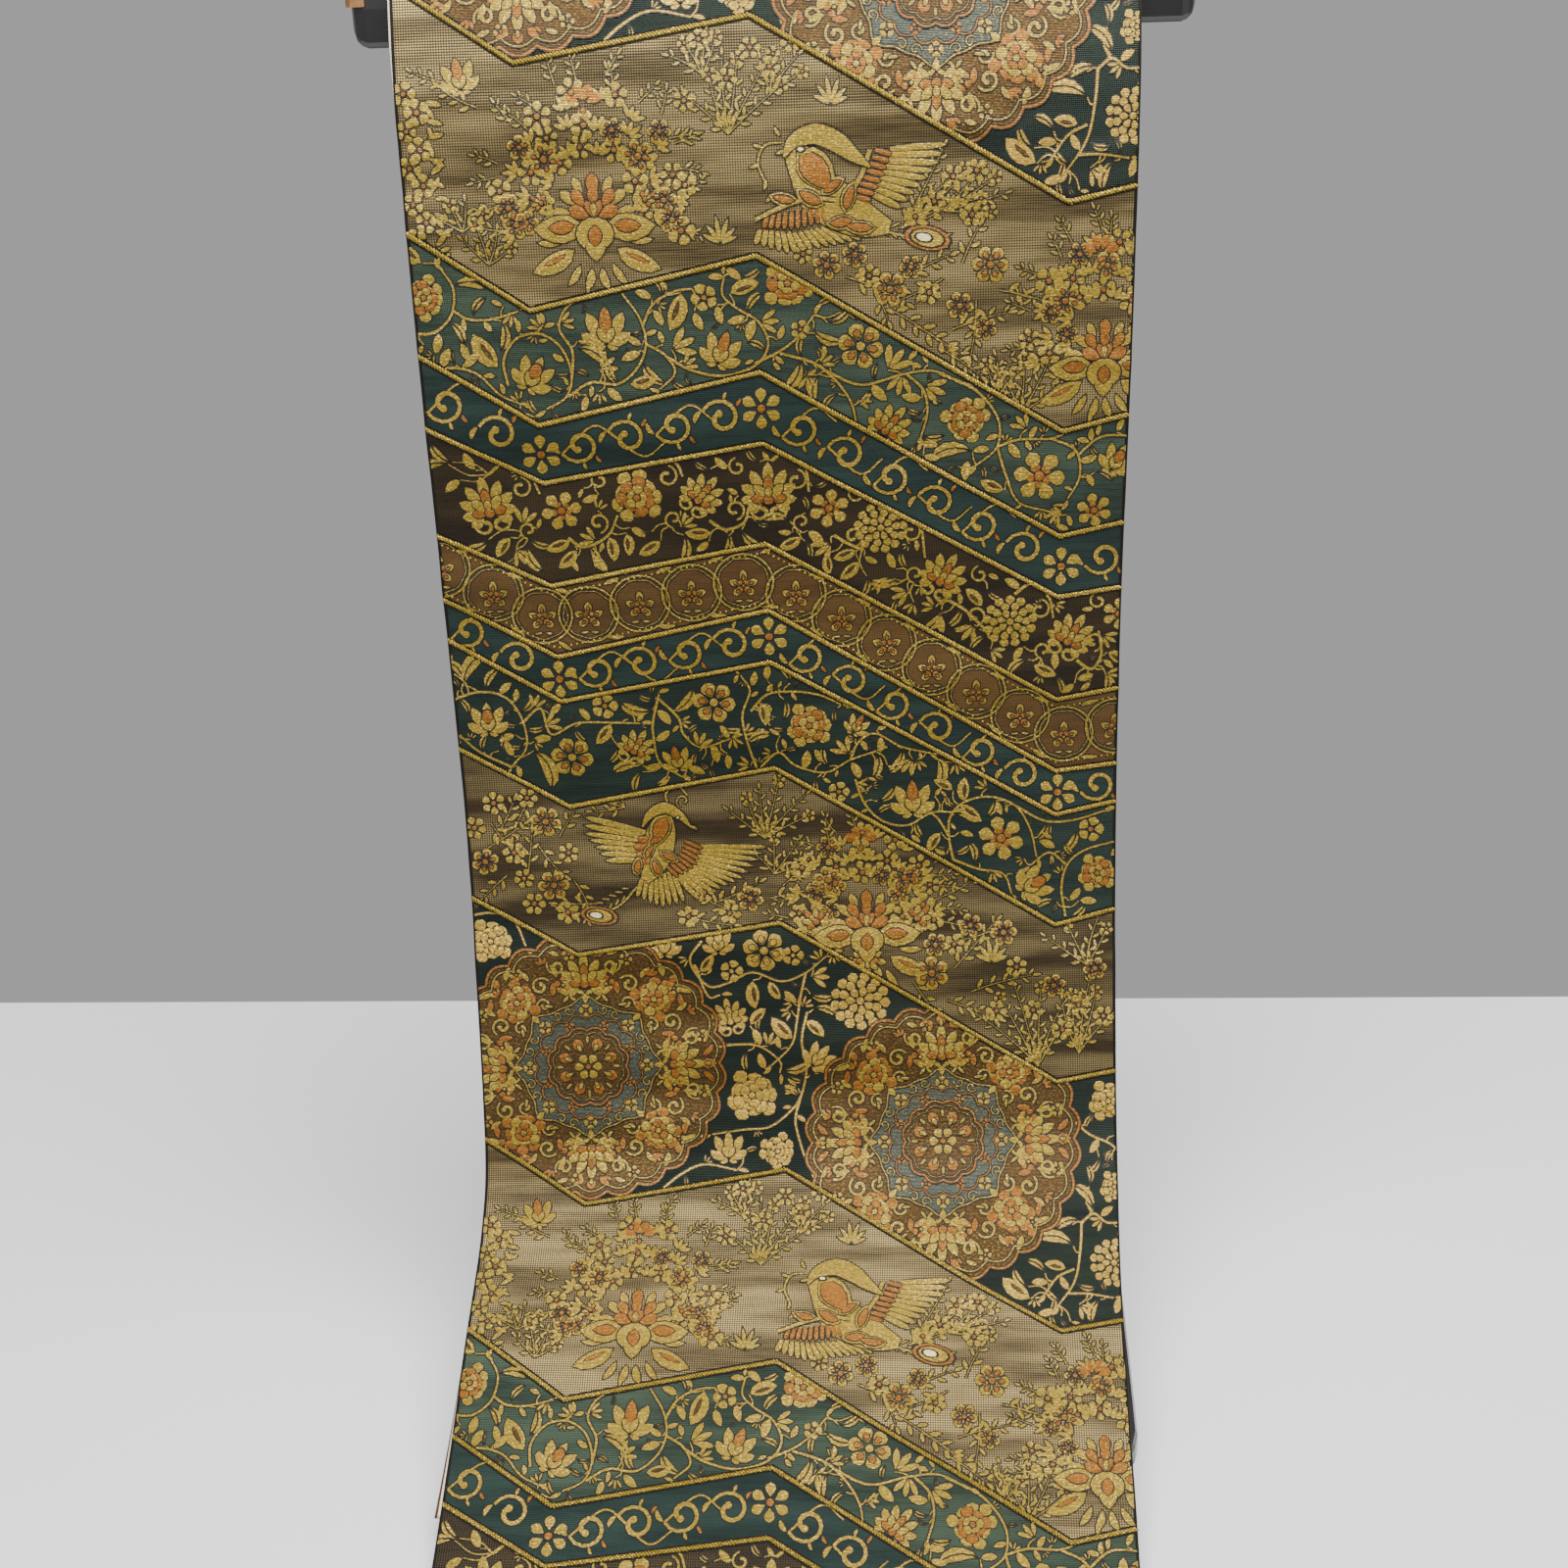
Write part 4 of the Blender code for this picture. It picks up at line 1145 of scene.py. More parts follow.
palmettes = [
    ("palm", 24, 205, 12.5, -100), ("star", 57, 210, 9.5, -70), ("peony", 91, 205, 13.0, -80),
    ("palm", 121, 204, 10.0, -50), ("palm", 150, 203, 12.5, -90), ("star", 177, 213, 9.5, -80),
    ("ball", 200, 223, 12.5, -60), ("palm", 229, 246, 11.0, -60), ("ball", 259, 270, 13.0, -90),
    ("palm", 288, 277, 11.0, -60), ("star", 309, 268, 8.0, -90),
]


def palmetteBand():
    work = FlatWork()
    filling = Filling(work, 3, "gold", 31)
    for _, u, s, radius, _ in palmettes:
        filling.takeRound((u, s), radius + 0.6)
    for n, ((_, u, s, _, _), (_, nextU, nextS, _, _)) in enumerate(zip(palmettes, palmettes[1:])):
        middle = ((u + nextU) / 2.0, (s + nextS) / 2.0)
        way = 1 if n % 2 else -1
        filling.takeVine(work.vine([(u + 2.0, s + 13.0 * way), (u + 9.0, s + 17.5 * way),
                                    (middle[0] + 3.0, middle[1] + 15.0 * way),
                                    (nextU - 9.0, nextS + 8.0 * way)], 1.3,
                                   "gold", (1.2, 0.8)))
        filling.takeVine(work.spiral((middle[0] - 1.0, middle[1] + 8.6 * way), 5.2, 80.0 * way, 1.0, 1.3,
                                     "gold",
                                     curl=0.3, way=-way))
        filling.takeVine(work.spiral((middle[0] + 1.0, middle[1] - 11.0 * way), 4.4, -100.0 * way, 0.95,
                                     1.2, "gold",
                                     curl=0.3, way=-way))
    filling.grow(700, 3.0, 13.0, 24.0)
    filling.grow(500, 2.2, 9.0, 18.0)
    filling.grow(500, 1.5, 6.5, 14.0)
    drawAll(work, palmettes, "gold", "orange")
    return clipFlat(work, 3, 4)


def ringBand():
    work = FlatWork()
    u = 0.0
    while u < 326.0:
        s = float(inBand(4, u))
        work.loop((u, s), lambda a: 13.6 + 0.0 * a, 0.9, "gold", around=44)
        work.loop((u, s), lambda a: 11.6 + 0.25 * np.sin(9.0 * a), 0.45, "gold", around=44)
        for spread in (-130.0, -65.0, 0.0, 65.0, 130.0):
            drawPetal(work, (u, s + 2.0), -90.0 + spread, 1.2, 8.6 - abs(spread) * 0.018, 4.2, "gold",
                      "orange", 1.2)
        drawFlower(work, (u, s + 1.6), 3.2, 4, 45.0, "orange", "gold")
        for side in (-1.0, 1.0):
            work.leaf((u, s + 8.4), -90.0 + side * 96.0, 5.0, 2.0, "gold", bend=-side * 40.0, rows=5)
        slope = float(inBand(4, u + 1.0) - inBand(4, u - 1.0)) / 2.0
        step = 24.2 / math.hypot(1.0, slope)
        between = (u + step / 2.0, float(inBand(4, u + step / 2.0)))
        for side in (-1.0, 1.0):
            work.leaf((between[0] - 5.0, between[1] + side * 12.6 - 5.0 * slope),
                      math.degrees(math.atan(slope)) +
                      side * 10.0, 10.0, 3.0, "gold", bend=-side * 20.0)
        u += step
    return clipFlat(work, 4, 5)


# Birds and bouquets of the gauze bands

def along(path, share):
    path = np.array(path, dtype=float)
    steps = np.concatenate([[0.0], np.cumsum(np.linalg.norm(np.diff(path, axis=0), axis=1))])
    return np.array([np.interp(share * steps[-1], steps, path[:, k]) for k in (0, 1)])


def featherRow(work, roots, tips, count, thread, lift):
    # blunt feathers side by side between two paths
    for k in range(count):
        share = (k + 0.5) / count
        root, tip = along(roots, share), along(tips, share)
        before, after = max(0.0, share - 0.02), min(1.0, share + 0.02)
        rootRun = along(roots, after) - along(roots, before)
        tipRun = along(tips, after) - along(tips, before)
        pitch = 0.5 * (np.linalg.norm(rootRun) + np.linalg.norm(tipRun)) * (25.0 / count)
        reach = (tip - root) / max(np.linalg.norm(tip - root), 1e-6)
        fanned = np.array([-reach[1], reach[0]])
        wide = max(2.0, 1.12 * (0.55 * pitch + 0.45 * abs(float(fanned @ tipRun)) * 25.0 / count))
        t = np.array([0.0, 0.3, 0.62, 0.86, 1.0])
        half = 0.5 * wide * np.array([0.8, 0.95, 1.0, 0.82, 0.12])
        work.strip(root + t[:, None] * (tip - root), half, thread, 0.13, lift,
                   narrow if wide < 3.0 else fullWidth)


def drawPlume(work, points, eye, radius):
    work.vine(points, 0.9, "gold")
    a, b = np.array(points[0], dtype=float), np.array(points[-1], dtype=float)
    way = math.degrees(math.atan2(*(b - a)[::-1]))
    for share in np.linspace(0.1, 0.95, 8):
        for side in (-1.0, 1.0):
            work.leaf(a + (b - a) * share, way + side * 34.0, 6.5, 1.9, "gold", bend=-side * 20.0, rows=4)
    work.disc(eye, radius, "orange", lift=0.1, squash=0.5, angle=12.0, around=16)
    work.disc(eye, radius * 0.74, "gold", lift=0.24, squash=0.5, angle=12.0, around=14)
    work.disc((eye[0] - 1.5, eye[1] - 0.4), radius * 0.4, "ivory", lift=0.4, squash=0.5, angle=12.0)


def drawScales(work, scales, bend, inset, shorter, narrower):
    # body leaves of gold, each with an orange one on it
    for place, way, long, wide in scales:
        work.leaf(place, way, long, wide, "gold", bend=bend, lift=0.34, blunt=0.9)
        work.leaf(polar(place, inset, way), way, long - shorter, wide - narrower, "orange", bend=bend - 2.0,
                  lift=0.5, blunt=0.9)


def drawLongBird(work):
    # head at the left, wing raised to the right, tail fanned below
    featherRow(work, [(206, 57), (203, 66), (197, 77)], [(231, 55), (226, 66), (209, 84)], 9, "gold", 0.05)
    featherRow(work, [(200, 57), (196, 66), (189, 78)], [(207, 59), (203, 69), (197, 80)], 8, "orange", 0.2)
    wingBar = densePath([(197, 58), (194, 67), (186, 80)], 3.0)
    work.strip(wingBar, np.full(len(wingBar), 1.5), "gold", 0.13, 0.3, narrow)
    featherRow(work, [(152, 84), (164, 82), (178, 80)], [(150, 89), (165, 90), (179, 87)], 10, "orange",
               0.2)
    featherRow(work, [(149, 89), (165, 91), (182, 88)], [(146, 95), (162, 100), (195, 95)], 14, "gold",
               0.05)
    work.vine([(148, 85), (160, 80), (172, 77), (182, 78)], 1.7, "gold", lift=0.32)
    drawPlume(work, [(198, 89), (208, 93), (228, 96)], (221, 95), 11.0)
    trunk = smoothThrough([(165, 57), (171, 66), (176, 75), (185, 82), (195, 87), (205, 90)], 5)
    work.strip(trunk, 9.4 * np.sin(np.pi * np.linspace(0.12, 0.94, len(trunk))) ** 0.8 + 0.8, "gold", 0.12,
               0.2)
    drawScales(work, (((200, 90), 186, 16.0, 6.6), ((191, 86), 172, 14.0, 7.0),
                      ((178, 80), -152, 15.0, 7.4),
                      ((186, 84), -72, 15.0, 7.0), ((176, 76), -34, 13.0, 6.6),
                      ((167, 78), -168, 14.0, 6.4)),
               22.0, 1.4, 3.2, 2.4)
    work.leaf((166, 58), 48.0, 23.0, 15.0, "gold", bend=34.0, lift=0.36, blunt=0.8)
    work.leaf((167, 59.5), 48.0, 19.5, 11.5, "orange", bend=34.0, lift=0.52, blunt=0.8)
    crest = smoothThrough([(161, 60), (165, 54), (174, 51), (183, 54.5), (190, 60), (197, 65)], 5)
    work.strip(crest, 4.2 * np.sin(np.pi * np.linspace(0.03, 0.97, len(crest))) + 0.6, "gold", 0.15, 0.5)
    work.disc((168, 57), 2.3, "ivory", lift=0.75, squash=0.6, around=10)
    work.leaf((163, 57), 165.0, 6.5, 2.4, "gold", lift=0.5)
    work.vine([(160, 54), (153, 55), (150, 62), (153, 70)], 0.9, "gold")
    for u, s, angle in ((153, 56, 200), (151, 62, 160), (153, 68, 100), (156, 74, 130), (160, 52, -120)):
        work.leaf((u, s), angle, 6.0, 2.4, "gold", bend=30.0, rows=5)


def drawOpenBird(work):
    # wings open to both sides, long tail feather under the left wing
    featherRow(work, [(86, 368), (82, 374), (84, 384)], [(56, 358), (55, 368), (66, 384)], 7, "gold", 0.05)
    featherRow(work, [(90, 372), (86, 377), (88, 386)], [(82, 370), (79, 376), (82, 386)], 4, "orange", 0.2)
    featherRow(work, [(110, 376), (107, 385), (98, 391)], [(146, 377), (132, 394), (108, 405)], 12, "gold",
               0.05)
    featherRow(work, [(104, 373), (101, 381), (94, 387)], [(113, 377), (109, 387), (99, 393)], 8, "orange",
               0.2)
    featherRow(work, [(98, 388), (90, 391), (82, 390)], [(104, 405), (91, 408), (78, 401)], 8, "gold", 0.05)
    drawPlume(work, [(80, 396), (70, 406), (54, 410)], (61, 410), 10.0)
    trunk = smoothThrough([(94, 360), (93, 368), (91, 377), (88, 386), (84, 393)], 5)
    work.strip(trunk, 7.0 * np.sin(np.pi * np.linspace(0.14, 0.94, len(trunk))) ** 0.8 + 0.8, "gold", 0.12,
               0.2)
    drawScales(work, (((80, 391), -80, 11.0, 5.8), ((92, 392), -112, 12.0, 6.0),
                      ((84, 383), -58, 11.0, 5.6),
                      ((101, 384), -150, 12.0, 6.0), ((86, 376), -40, 11.0, 5.6)), 20.0, 1.2, 2.8, 2.2)
    work.leaf((96, 360), 112.0, 18.0, 11.0, "gold", bend=-20.0, lift=0.36, blunt=0.8)
    work.leaf((95.6, 361.4), 112.0, 14.8, 8.0, "orange", bend=-20.0, lift=0.52, blunt=0.8)
    neck = smoothThrough([(84, 366), (88, 360), (95, 357), (102, 361), (107, 367)], 5)
    work.strip(neck, 2.6 * np.sin(np.pi * np.linspace(0.03, 0.97, len(neck))) + 0.6, "gold", 0.15, 0.5)
    work.disc((101, 362), 1.5, "ivory", lift=0.75, squash=0.7, around=8)
    work.leaf((106, 366), 30.0, 5.5, 2.2, "gold", lift=0.5)
    work.vine([(97, 357), (96, 350), (102, 347), (106, 351)], 0.9, "gold")
    work.spiral((104, 354), 4.0, 100.0, 0.9, 0.8, "gold")


def bouquet(work, middle, reach, count, seed):
    # arching rows of small flowers and leaves round a lotus
    petal = "gold"
    dice = random.Random(seed)
    for ring, share in enumerate((1.06, 0.86, 0.66, 0.46)):
        number = max(4, round(count * (0.45 + 0.6 * share)))
        for k in range(number):
            angle = -192.0 + 204.0 * k / (number - 1.0) + dice.uniform(-5.0, 5.0)
            swell = share * dice.uniform(0.93, 1.07)
            at = (middle[0] + reach[0] * swell * math.cos(math.radians(angle)),
                  middle[1] + reach[1] * swell * math.sin(math.radians(angle)))
            if ring == 0:
                drawSprig(work, polar(at, 6.0, angle + 180.0), angle + dice.uniform(-26.0, 26.0), 9.0, 4,
                          5.2, petal,
                          bend=dice.uniform(-20.0, 20.0))
            elif (k + ring) % 2 == 0:
                drawFlower(work, at, dice.uniform(5.2, 6.6), 6 if k % 3 else 5, dice.uniform(0.0, 70.0),
                           petal,
                           "orange", "orange" if dice.random() < 0.4 else None, 0.95)
            else:
                for turn in (-48.0, -14.0, 20.0, 52.0):
                    work.leaf(polar(at, 3.0, angle + 180.0), angle + turn, dice.uniform(6.5, 8.5), 2.9,
                              petal,
                              rows=5)
    for side in (-1.0, 1.0):
        drawFlower(work, (middle[0] + side * 0.46 * reach[0], middle[1] - 0.36 * reach[1]), 7.6, 6, 15.0,
                   petal,
                   "orange", "orange", 0.9)
    top = (middle[0] - 2.0, middle[1] - reach[1] * 0.78)
    for spread in (-64.0, -22.0, 22.0, 64.0):
        drawPetal(work, top, -90.0 + spread, 1.0, 9.0, 5.4, "orange")
    drawPetal(work, top, 90.0, 0.0, 6.0, 6.0, petal, "orange")


def drawUnderLeaves(work, middle, radius):
    # leaves that hang from a lotus
    petal = "gold"
    for side in (-1.0, 1.0):
        angle = 90.0 - side * 62.0
        drawLeaf(work, polar(middle, 0.7 * radius, angle), angle, 22.0, 9.0, petal, bend=-side * 24.0,
                 heart="orange")
        for turn, long in ((4.0, 13.0), (58.0, 12.0), (80.0, 10.0)):
            angle = 90.0 - side * (90.0 - turn)
            work.leaf(polar(middle, 0.9 * radius, angle), angle, long, 4.0, petal, bend=-side * 30.0)
        work.leaf((middle[0] + side * 2.0, middle[1] + 12.0), 90.0 - side * 12.0, 14.0, 3.0, petal,
                  bend=side * 18.0)


def drawSpray(work, middle, reach, count, seed, turn, fan):
    # an open plant: stems fanning from one foot, small flowers near the tips
    dice = random.Random(seed)
    for k in range(count):
        angle = turn + fan * (k / (count - 1.0) - 0.5)
        long = reach * dice.uniform(0.75, 1.05) * (1.0 - 0.25 * abs(angle - turn) / fan)
        drawSprig(work, middle, angle, long, max(3, int(long / 3.2)), 5.6, bend=dice.uniform(-24.0, 24.0),
                  bud="orange" if k % 2 else None)


def drawSprays(work, rows):
    for u, s, reach, count, seed, turn, fan in rows:
        drawSpray(work, (u, s), reach, count, seed, turn, fan)


def drawTufts(work, feet, long, wide):
    for spread in (-60.0, -34.0, -8.0, 18.0, 44.0, 66.0):
        for foot in feet:
            work.leaf(foot, -90.0 + spread, long - abs(spread) * 0.08, wide, "gold", bend=0.5 * spread)


def scatterPlain(work, spots, radius, dice):
    for spot in spots:
        drawFlower(work, spot, radius, 6, dice.uniform(0.0, 70.0), "gold", "orange")


def scatterFlowers(work, rows, dice, plainBelow=0.0):
    for u, s, radius in rows:
        streak = "orange" if radius > plainBelow else None
        drawFlower(work, (u, s), radius, 6, dice.uniform(0.0, 60.0), "gold", "orange", streak)


def scatterSprigs(work, rows, dice, swing):
    for u, s, angle, long in rows:
        drawSprig(work, (u, s), angle, long, int(long / 3.2), 6.4, bend=dice.uniform(-swing, swing))


def wideGauzeBand():
    work = FlatWork()
    dice = random.Random(5)
    bouquet(work, (80, 76), (43, 51), 17, 11)
    drawUnderLeaves(work, (80, 90), 14.0)
    for side in (-1, 1):
        drawFlower(work, (80 + side * 33, 84), 6.4, 6, 10.0, "gold", "orange", "orange")
        drawFlower(work, (80 + side * 39, 70), 5.4, 5, 40.0, "gold", "orange")
        drawPalmette(work, (80 + side * 24, 74), 6.0, -90.0 + side * 60.0, "gold", "orange", 5)
    drawLotus(work, (80, 80), 15.5)
    drawTulip(work, (27, 23), 8.0, -100.0)
    drawSprig(work, (34, 36), 200.0, 16.0, 6, 6.0)
    drawSprig(work, (22, 26), 190.0, 14.0, 5, 5.4)
    for n in range(10):
        s = 30.0 + 7.4 * n
        drawFlower(work, (4.0 + 5.0 * (n % 2), s), dice.uniform(4.6, 6.0), 5, 40.0 * n, "gold", "orange")
        work.leaf((12.0, s + 3.0), dice.uniform(-60.0, 40.0), 8.5, 3.2, "gold")
        work.leaf((13.0, s + 5.0), dice.uniform(-20.0, 80.0), 6.5, 2.8, "gold")
    drawSprays(work, [(138, 50, 34.0, 6, 41, -88.0, 90.0), (128, 26, 18.0, 4, 42, -100.0, 80.0),
                      (156, 34, 20.0, 4, 43, -70.0, 80.0)])
    drawTufts(work, ((181, 40), (133, 95)), 14.0, 2.8)
    drawSprays(work, [(34, 100, 18.0, 4, 44, -80.0, 110.0), (24, 86, 16.0, 4, 45, -90.0, 120.0)])
    scatterPlain(work, ((138, 28), (148, 16), (127, 12), (156, 24), (120, 36), (165, 14)), 5.0, dice)
    drawLongBird(work)
    drawSprays(work, [(211, 90, 40.0, 5, 46, -38.0, 44.0), (228, 84, 30.0, 4, 47, -20.0, 50.0)])
    scatterPlain(work, ((224, 80), (232, 70), (216, 86), (242, 68), (240, 86)), 5.4, dice)
    scatterFlowers(work, ((178, 105, 6.6), (190, 101, 6.0), (205, 116, 8.0), (235, 124, 6.5),
                          (248, 107, 8.4),
                          (222, 118, 5.4), (196, 110, 5.4), (214, 107, 5.6), (168, 100, 4.6),
                          (246, 134, 5.6)), dice)
    for u, s, angle, long in ((186, 110, 20, 28), (204, 124, 30, 32), (228, 112, 150, 20),
                              (232, 134, -20, 24),
                              (242, 122, 90, 24), (216, 132, 30, 24), (250, 150, 60, 18),
                              (252, 118, 10, 20),
                              (210, 112, -30, 22), (236, 106, -70, 16), (226, 142, 30, 22),
                              (198, 116, 60, 14)):
        drawSprig(work, (u, s), angle, long, int(long / 3.4), 6.6, bend=12.0)
    bouquet(work, (297, 140), (36, 46), 15, 12)
    drawUnderLeaves(work, (297, 154), 13.0)
    drawLotus(work, (298, 147), 14.5)
    drawSprays(work, [(262, 172, 26.0, 4, 48, -70.0, 80.0), (252, 164, 20.0, 4, 49, -100.0, 90.0)])
    return clipFlat(work, 0, 1)


def darkGauzeBand():
    work = FlatWork()
    dice = random.Random(8)
    scatterFlowers(work, ((38, 362, 8.0), (40, 394, 8.2), (22, 377, 6.0), (8, 381, 7.0), (30, 403, 6.0),
                          (134, 404, 7.0), (112, 400, 5.6), (124, 411, 5.8), (48, 378, 5.4),
                          (104, 412, 5.6),
                          (14, 352, 6.0), (46, 408, 6.0), (4, 364, 6.0), (26, 390, 5.4),
                          (30, 350, 5.4)), dice, 6)
    scatterSprigs(work, ((30, 352, 120, 18), (34, 374, 60, 18), (12, 362, 60, 18), (28, 388, -80, 20),
                         (50, 392, 60, 16), (18, 388, 140, 16), (98, 410, 20, 28), (116, 406, -20, 24),
                         (130, 412, 200, 22), (150, 398, -40, 18), (60, 404, 180, 18), (10, 374, -30, 20),
                         (38, 404, 20, 20), (16, 366, -60, 16), (44, 370, -60, 16),
                         (144, 404, -10, 22)), dice, 18.0)
    drawOpenBird(work)
    drawSprays(work, [(142, 374, 30.0, 6, 51, -84.0, 110.0), (146, 392, 20.0, 4, 52, -70.0, 110.0),
                      (76, 356, 18.0, 4, 53, -150.0, 90.0)])
    bouquet(work, (190, 412), (40, 44), 17, 21)
    drawUnderLeaves(work, (192, 430), 14.0)
    drawPalmette(work, (190, 440), 9.0, 90.0, "gold", "orange", 7)
    for side in (-1, 1):
        drawPalmette(work, (190 + side * 27, 414), 9.0, -90.0 + side * 46.0, "gold", "orange", 7)
        drawFlower(work, (190 + side * 33, 430), 6.4, 6, 10.0, "gold", "orange", "orange")
    drawLotus(work, (190, 418), 15.5)
    scatterSprigs(work, ((232, 442, -50, 30), (240, 454, -20, 30), (228, 458, 20, 26), (212, 448, 60, 22),
                         (222, 408, -20, 22), (250, 424, 160, 18)), dice, 16.0)
    drawTufts(work, ((250, 440),), 15.0, 3.0)
    drawSprays(work, [(272, 492, 46.0, 6, 54, -96.0, 70.0), (292, 486, 40.0, 5, 55, -86.0, 60.0),
                      (296, 442, 26.0, 4, 56, -100.0, 90.0)])
    scatterFlowers(work, ((221, 444, 9.0), (240, 421, 6.4), (256, 425, 7.0), (262, 442, 5.6),
                          (280, 452, 6.4),
                          (292, 462, 5.8), (270, 464, 5.4), (284, 474, 5.6), (300, 444, 6.2),
                          (304, 468, 5.6),
                          (232, 430, 5.6), (252, 464, 5.6)), dice, 6)
    return clipFlat(work, 7, 8)


# Medallions

medallion = {"radius": 66.5, "lobes": 26, "places": [(52.5, 486.0), (225.0, 527.5)]}


def scalloped(radius, depth, count):
    return lambda a: radius + depth * (np.abs(np.sin(count / 2.0 * a)) - 0.5)


def starred(radius, depth, count=8):
    return lambda a: radius + depth * np.cos(count * a) + 0.4 * depth * np.cos(2.0 * count * a)


def mirroredLeaves(work, middle, angle, way, rows):
    # leaves of a medallion, at a distance out and an angle round, on one side of a spoke
    for out, round, turn, long, wide, thread, bend in rows:
        work.leaf(polar(middle, out, angle + way * round), angle + way * turn, long, wide, thread,
                  bend=way * bend)


def drawMedallion(ground, middle):
    work = RaisedWork(ground, 0.1)
    big, lobes = medallion["radius"], medallion["lobes"]
    ground.plate(middle, scalloped(big, 3.4, lobes), "umber", around=208)
    work.loop(middle, scalloped(big - 0.9, 3.4, lobes), 1.2, "orange", around=208, lift=0.06)
    work.loop(middle, scalloped(big - 4.4, 3.2, lobes), 0.7, "gold", around=208, lift=0.06)
    for n in range(lobes):
        angle = 360.0 * n / lobes
        at = polar(middle, big - 8.6, angle)
        if n % 2:
            drawFlower(work, at, 3.5, 5, angle, "gold", "orange")
        else:
            for spread in (-38.0, 0.0, 38.0):
                work.leaf(polar(at, 2.4, angle + 180.0), angle + spread, 5.4, 2.5, "orange", rows=4)
    for n in range(4):
        angle = 90.0 * n
        at = polar(middle, 46.5, angle)
        drawPalmette(work, at, 11.6, angle, "gold", "orange", 9)
        for way in (-1, 1):
            drawFlower(work, polar(middle, 43.0, angle + way * 14.0), 4.6, 5, angle, "orange", "gold")
            work.spiral(polar(middle, 53.0, angle + way * 14.5), 5.0, angle + way * 60.0, 1.0, 1.4, "gold",
                        way=way)
            mirroredLeaves(work, middle, angle, way, (
                (37.5, 5.0, 74.0, 12.0, 4.4, "gold", -50.0), (55.5, 4.0, 44.0, 9.0, 3.8, "orange", 40.0),
                (47.0, 17.0, 20.0, 9.0, 3.6, "gold", 60.0), (57.5, 11.0, 70.0, 7.0, 3.2, "gold", 30.0)))
        drawPetal(work, polar(middle, 55.5, angle), angle, 0.0, 7.5, 5.6, "orange", "gold")
        side = angle + 45.0
        at = polar(middle, 47.0, side)
        drawPeony(work, at, 12.0, side, "orange", "gold")
        for way in (-1, 1):
            work.spiral(polar(middle, 46.5, side + way * 17.5), 5.0, side + way * 100.0, 1.1, 1.5, "gold",
                        way=-way)
            work.spiral(polar(middle, 37.5, side + way * 12.5), 3.8, side - way * 60.0, 1.0, 1.3, "gold",
                        way=way)
            mirroredLeaves(work, middle, side, way, (
                (58.0, 4.0, 60.0, 9.0, 4.2, "gold", 44.0), (55.5, 15.0, -60.0, 9.0, 3.8, "orange", 40.0),
                (39.0, 21.0, 50.0, 8.0, 3.8, "orange", 0.0), (51.0, 13.0, 10.0, 8.0, 3.4, "gold", -50.0)))
        work.leaf(polar(middle, 58.0, side), side, 6.0, 5.0, "orange")
    work.plate(middle, starred(32.6, 1.8), "blue", inner=17.5, around=160, lift=0.1)
    work.step = 0.26
    work.loop(middle, starred(33.2, 1.8), 0.6, "gold", around=160, lift=0.0)
    work.loop(middle, scalloped(25.6, 2.4, 16), 0.55, "orange", around=128, lift=0.04)
    for n in range(8):
        angle = 45.0 * n
        drawFlower(work, polar(middle, 28.6, angle), 3.4, 4, angle, "gold", "orange")
        drawPetal(work, polar(middle, 31.0, angle), angle, 0.0, 6.5, 4.0, "gold", lift=0.04)
        drawFlower(work, polar(middle, 21.9, angle + 22.5), 2.6, 4, angle, "orange", "gold")
        for way in (-1, 1):
            work.spiral(polar(middle, 29.8, angle + 22.5 + way * 6.0), 2.8, angle + 22.5 + way * 100.0,
                        0.9, 0.6,
                        "gold", way=way, bead=False)
            work.leaf(polar(middle, 34.6, angle + 22.5 + way * 3.0), angle + 22.5 + way * 62.0, 6.0, 2.4,
                      "gold",
                      bend=-way * 40.0, rows=5)
    work.plate(middle, scalloped(19.4, 1.8, 12), "umber", around=96, lift=0.16)
    work.step = 0.5
    work.loop(middle, scalloped(19.2, 1.8, 12), 0.9, "orange", around=96, lift=0.0)
    work.loop(middle, scalloped(16.9, 1.5, 12), 0.35, "gold", around=96, lift=0.0)
    for n in range(8):
        drawPetal(work, middle, 45.0 * n + 22.5, 6.6, 15.6, 6.2, "orange", "gold", lift=0.0)
        work.leaf(polar(middle, 11.0, 45.0 * n), 45.0 * n, 5.6, 2.4, "gold", lift=0.0, rows=4)
    drawFlower(work, middle, 7.0, 6, 0.0, "gold", "orange", None, 1.0)


def medallionBand():
    vines = FlatWork()
    blocks = [(u, s, medallion["radius"] + 1.5) for u, s in medallion["places"]]
    growVines(vines, 8, medallionVines, medallionFlowers, "pale", 17, 700, blocks)
    drawAll(vines, medallionFlowers, "pale", "pale")
    vines = clipFlat(vines, 8, 9)
    for middle in medallion["places"]:
        vines = dropInside(vines, middle, medallion["radius"] - 2.0)
    rounds = FlatWork()
    for middle in medallion["places"]:
        drawMedallion(rounds, middle)
    return vines, clipFlat(rounds, 8, 9)


def dropInside(work, middle, radius):
    # leaves out the faces that would lie under a medallion
    out = FlatWork()
    inside = [math.hypot(p[0] - middle[0], p[1] - middle[1]) < radius for p in work.points]
    out.points, out.rims = work.points, work.rims
    for face, thread in zip(work.faces, work.threads):
        if not all(inside[k] for k in face):
            out.faces.append(face)
            out.threads.append(thread)
    return out


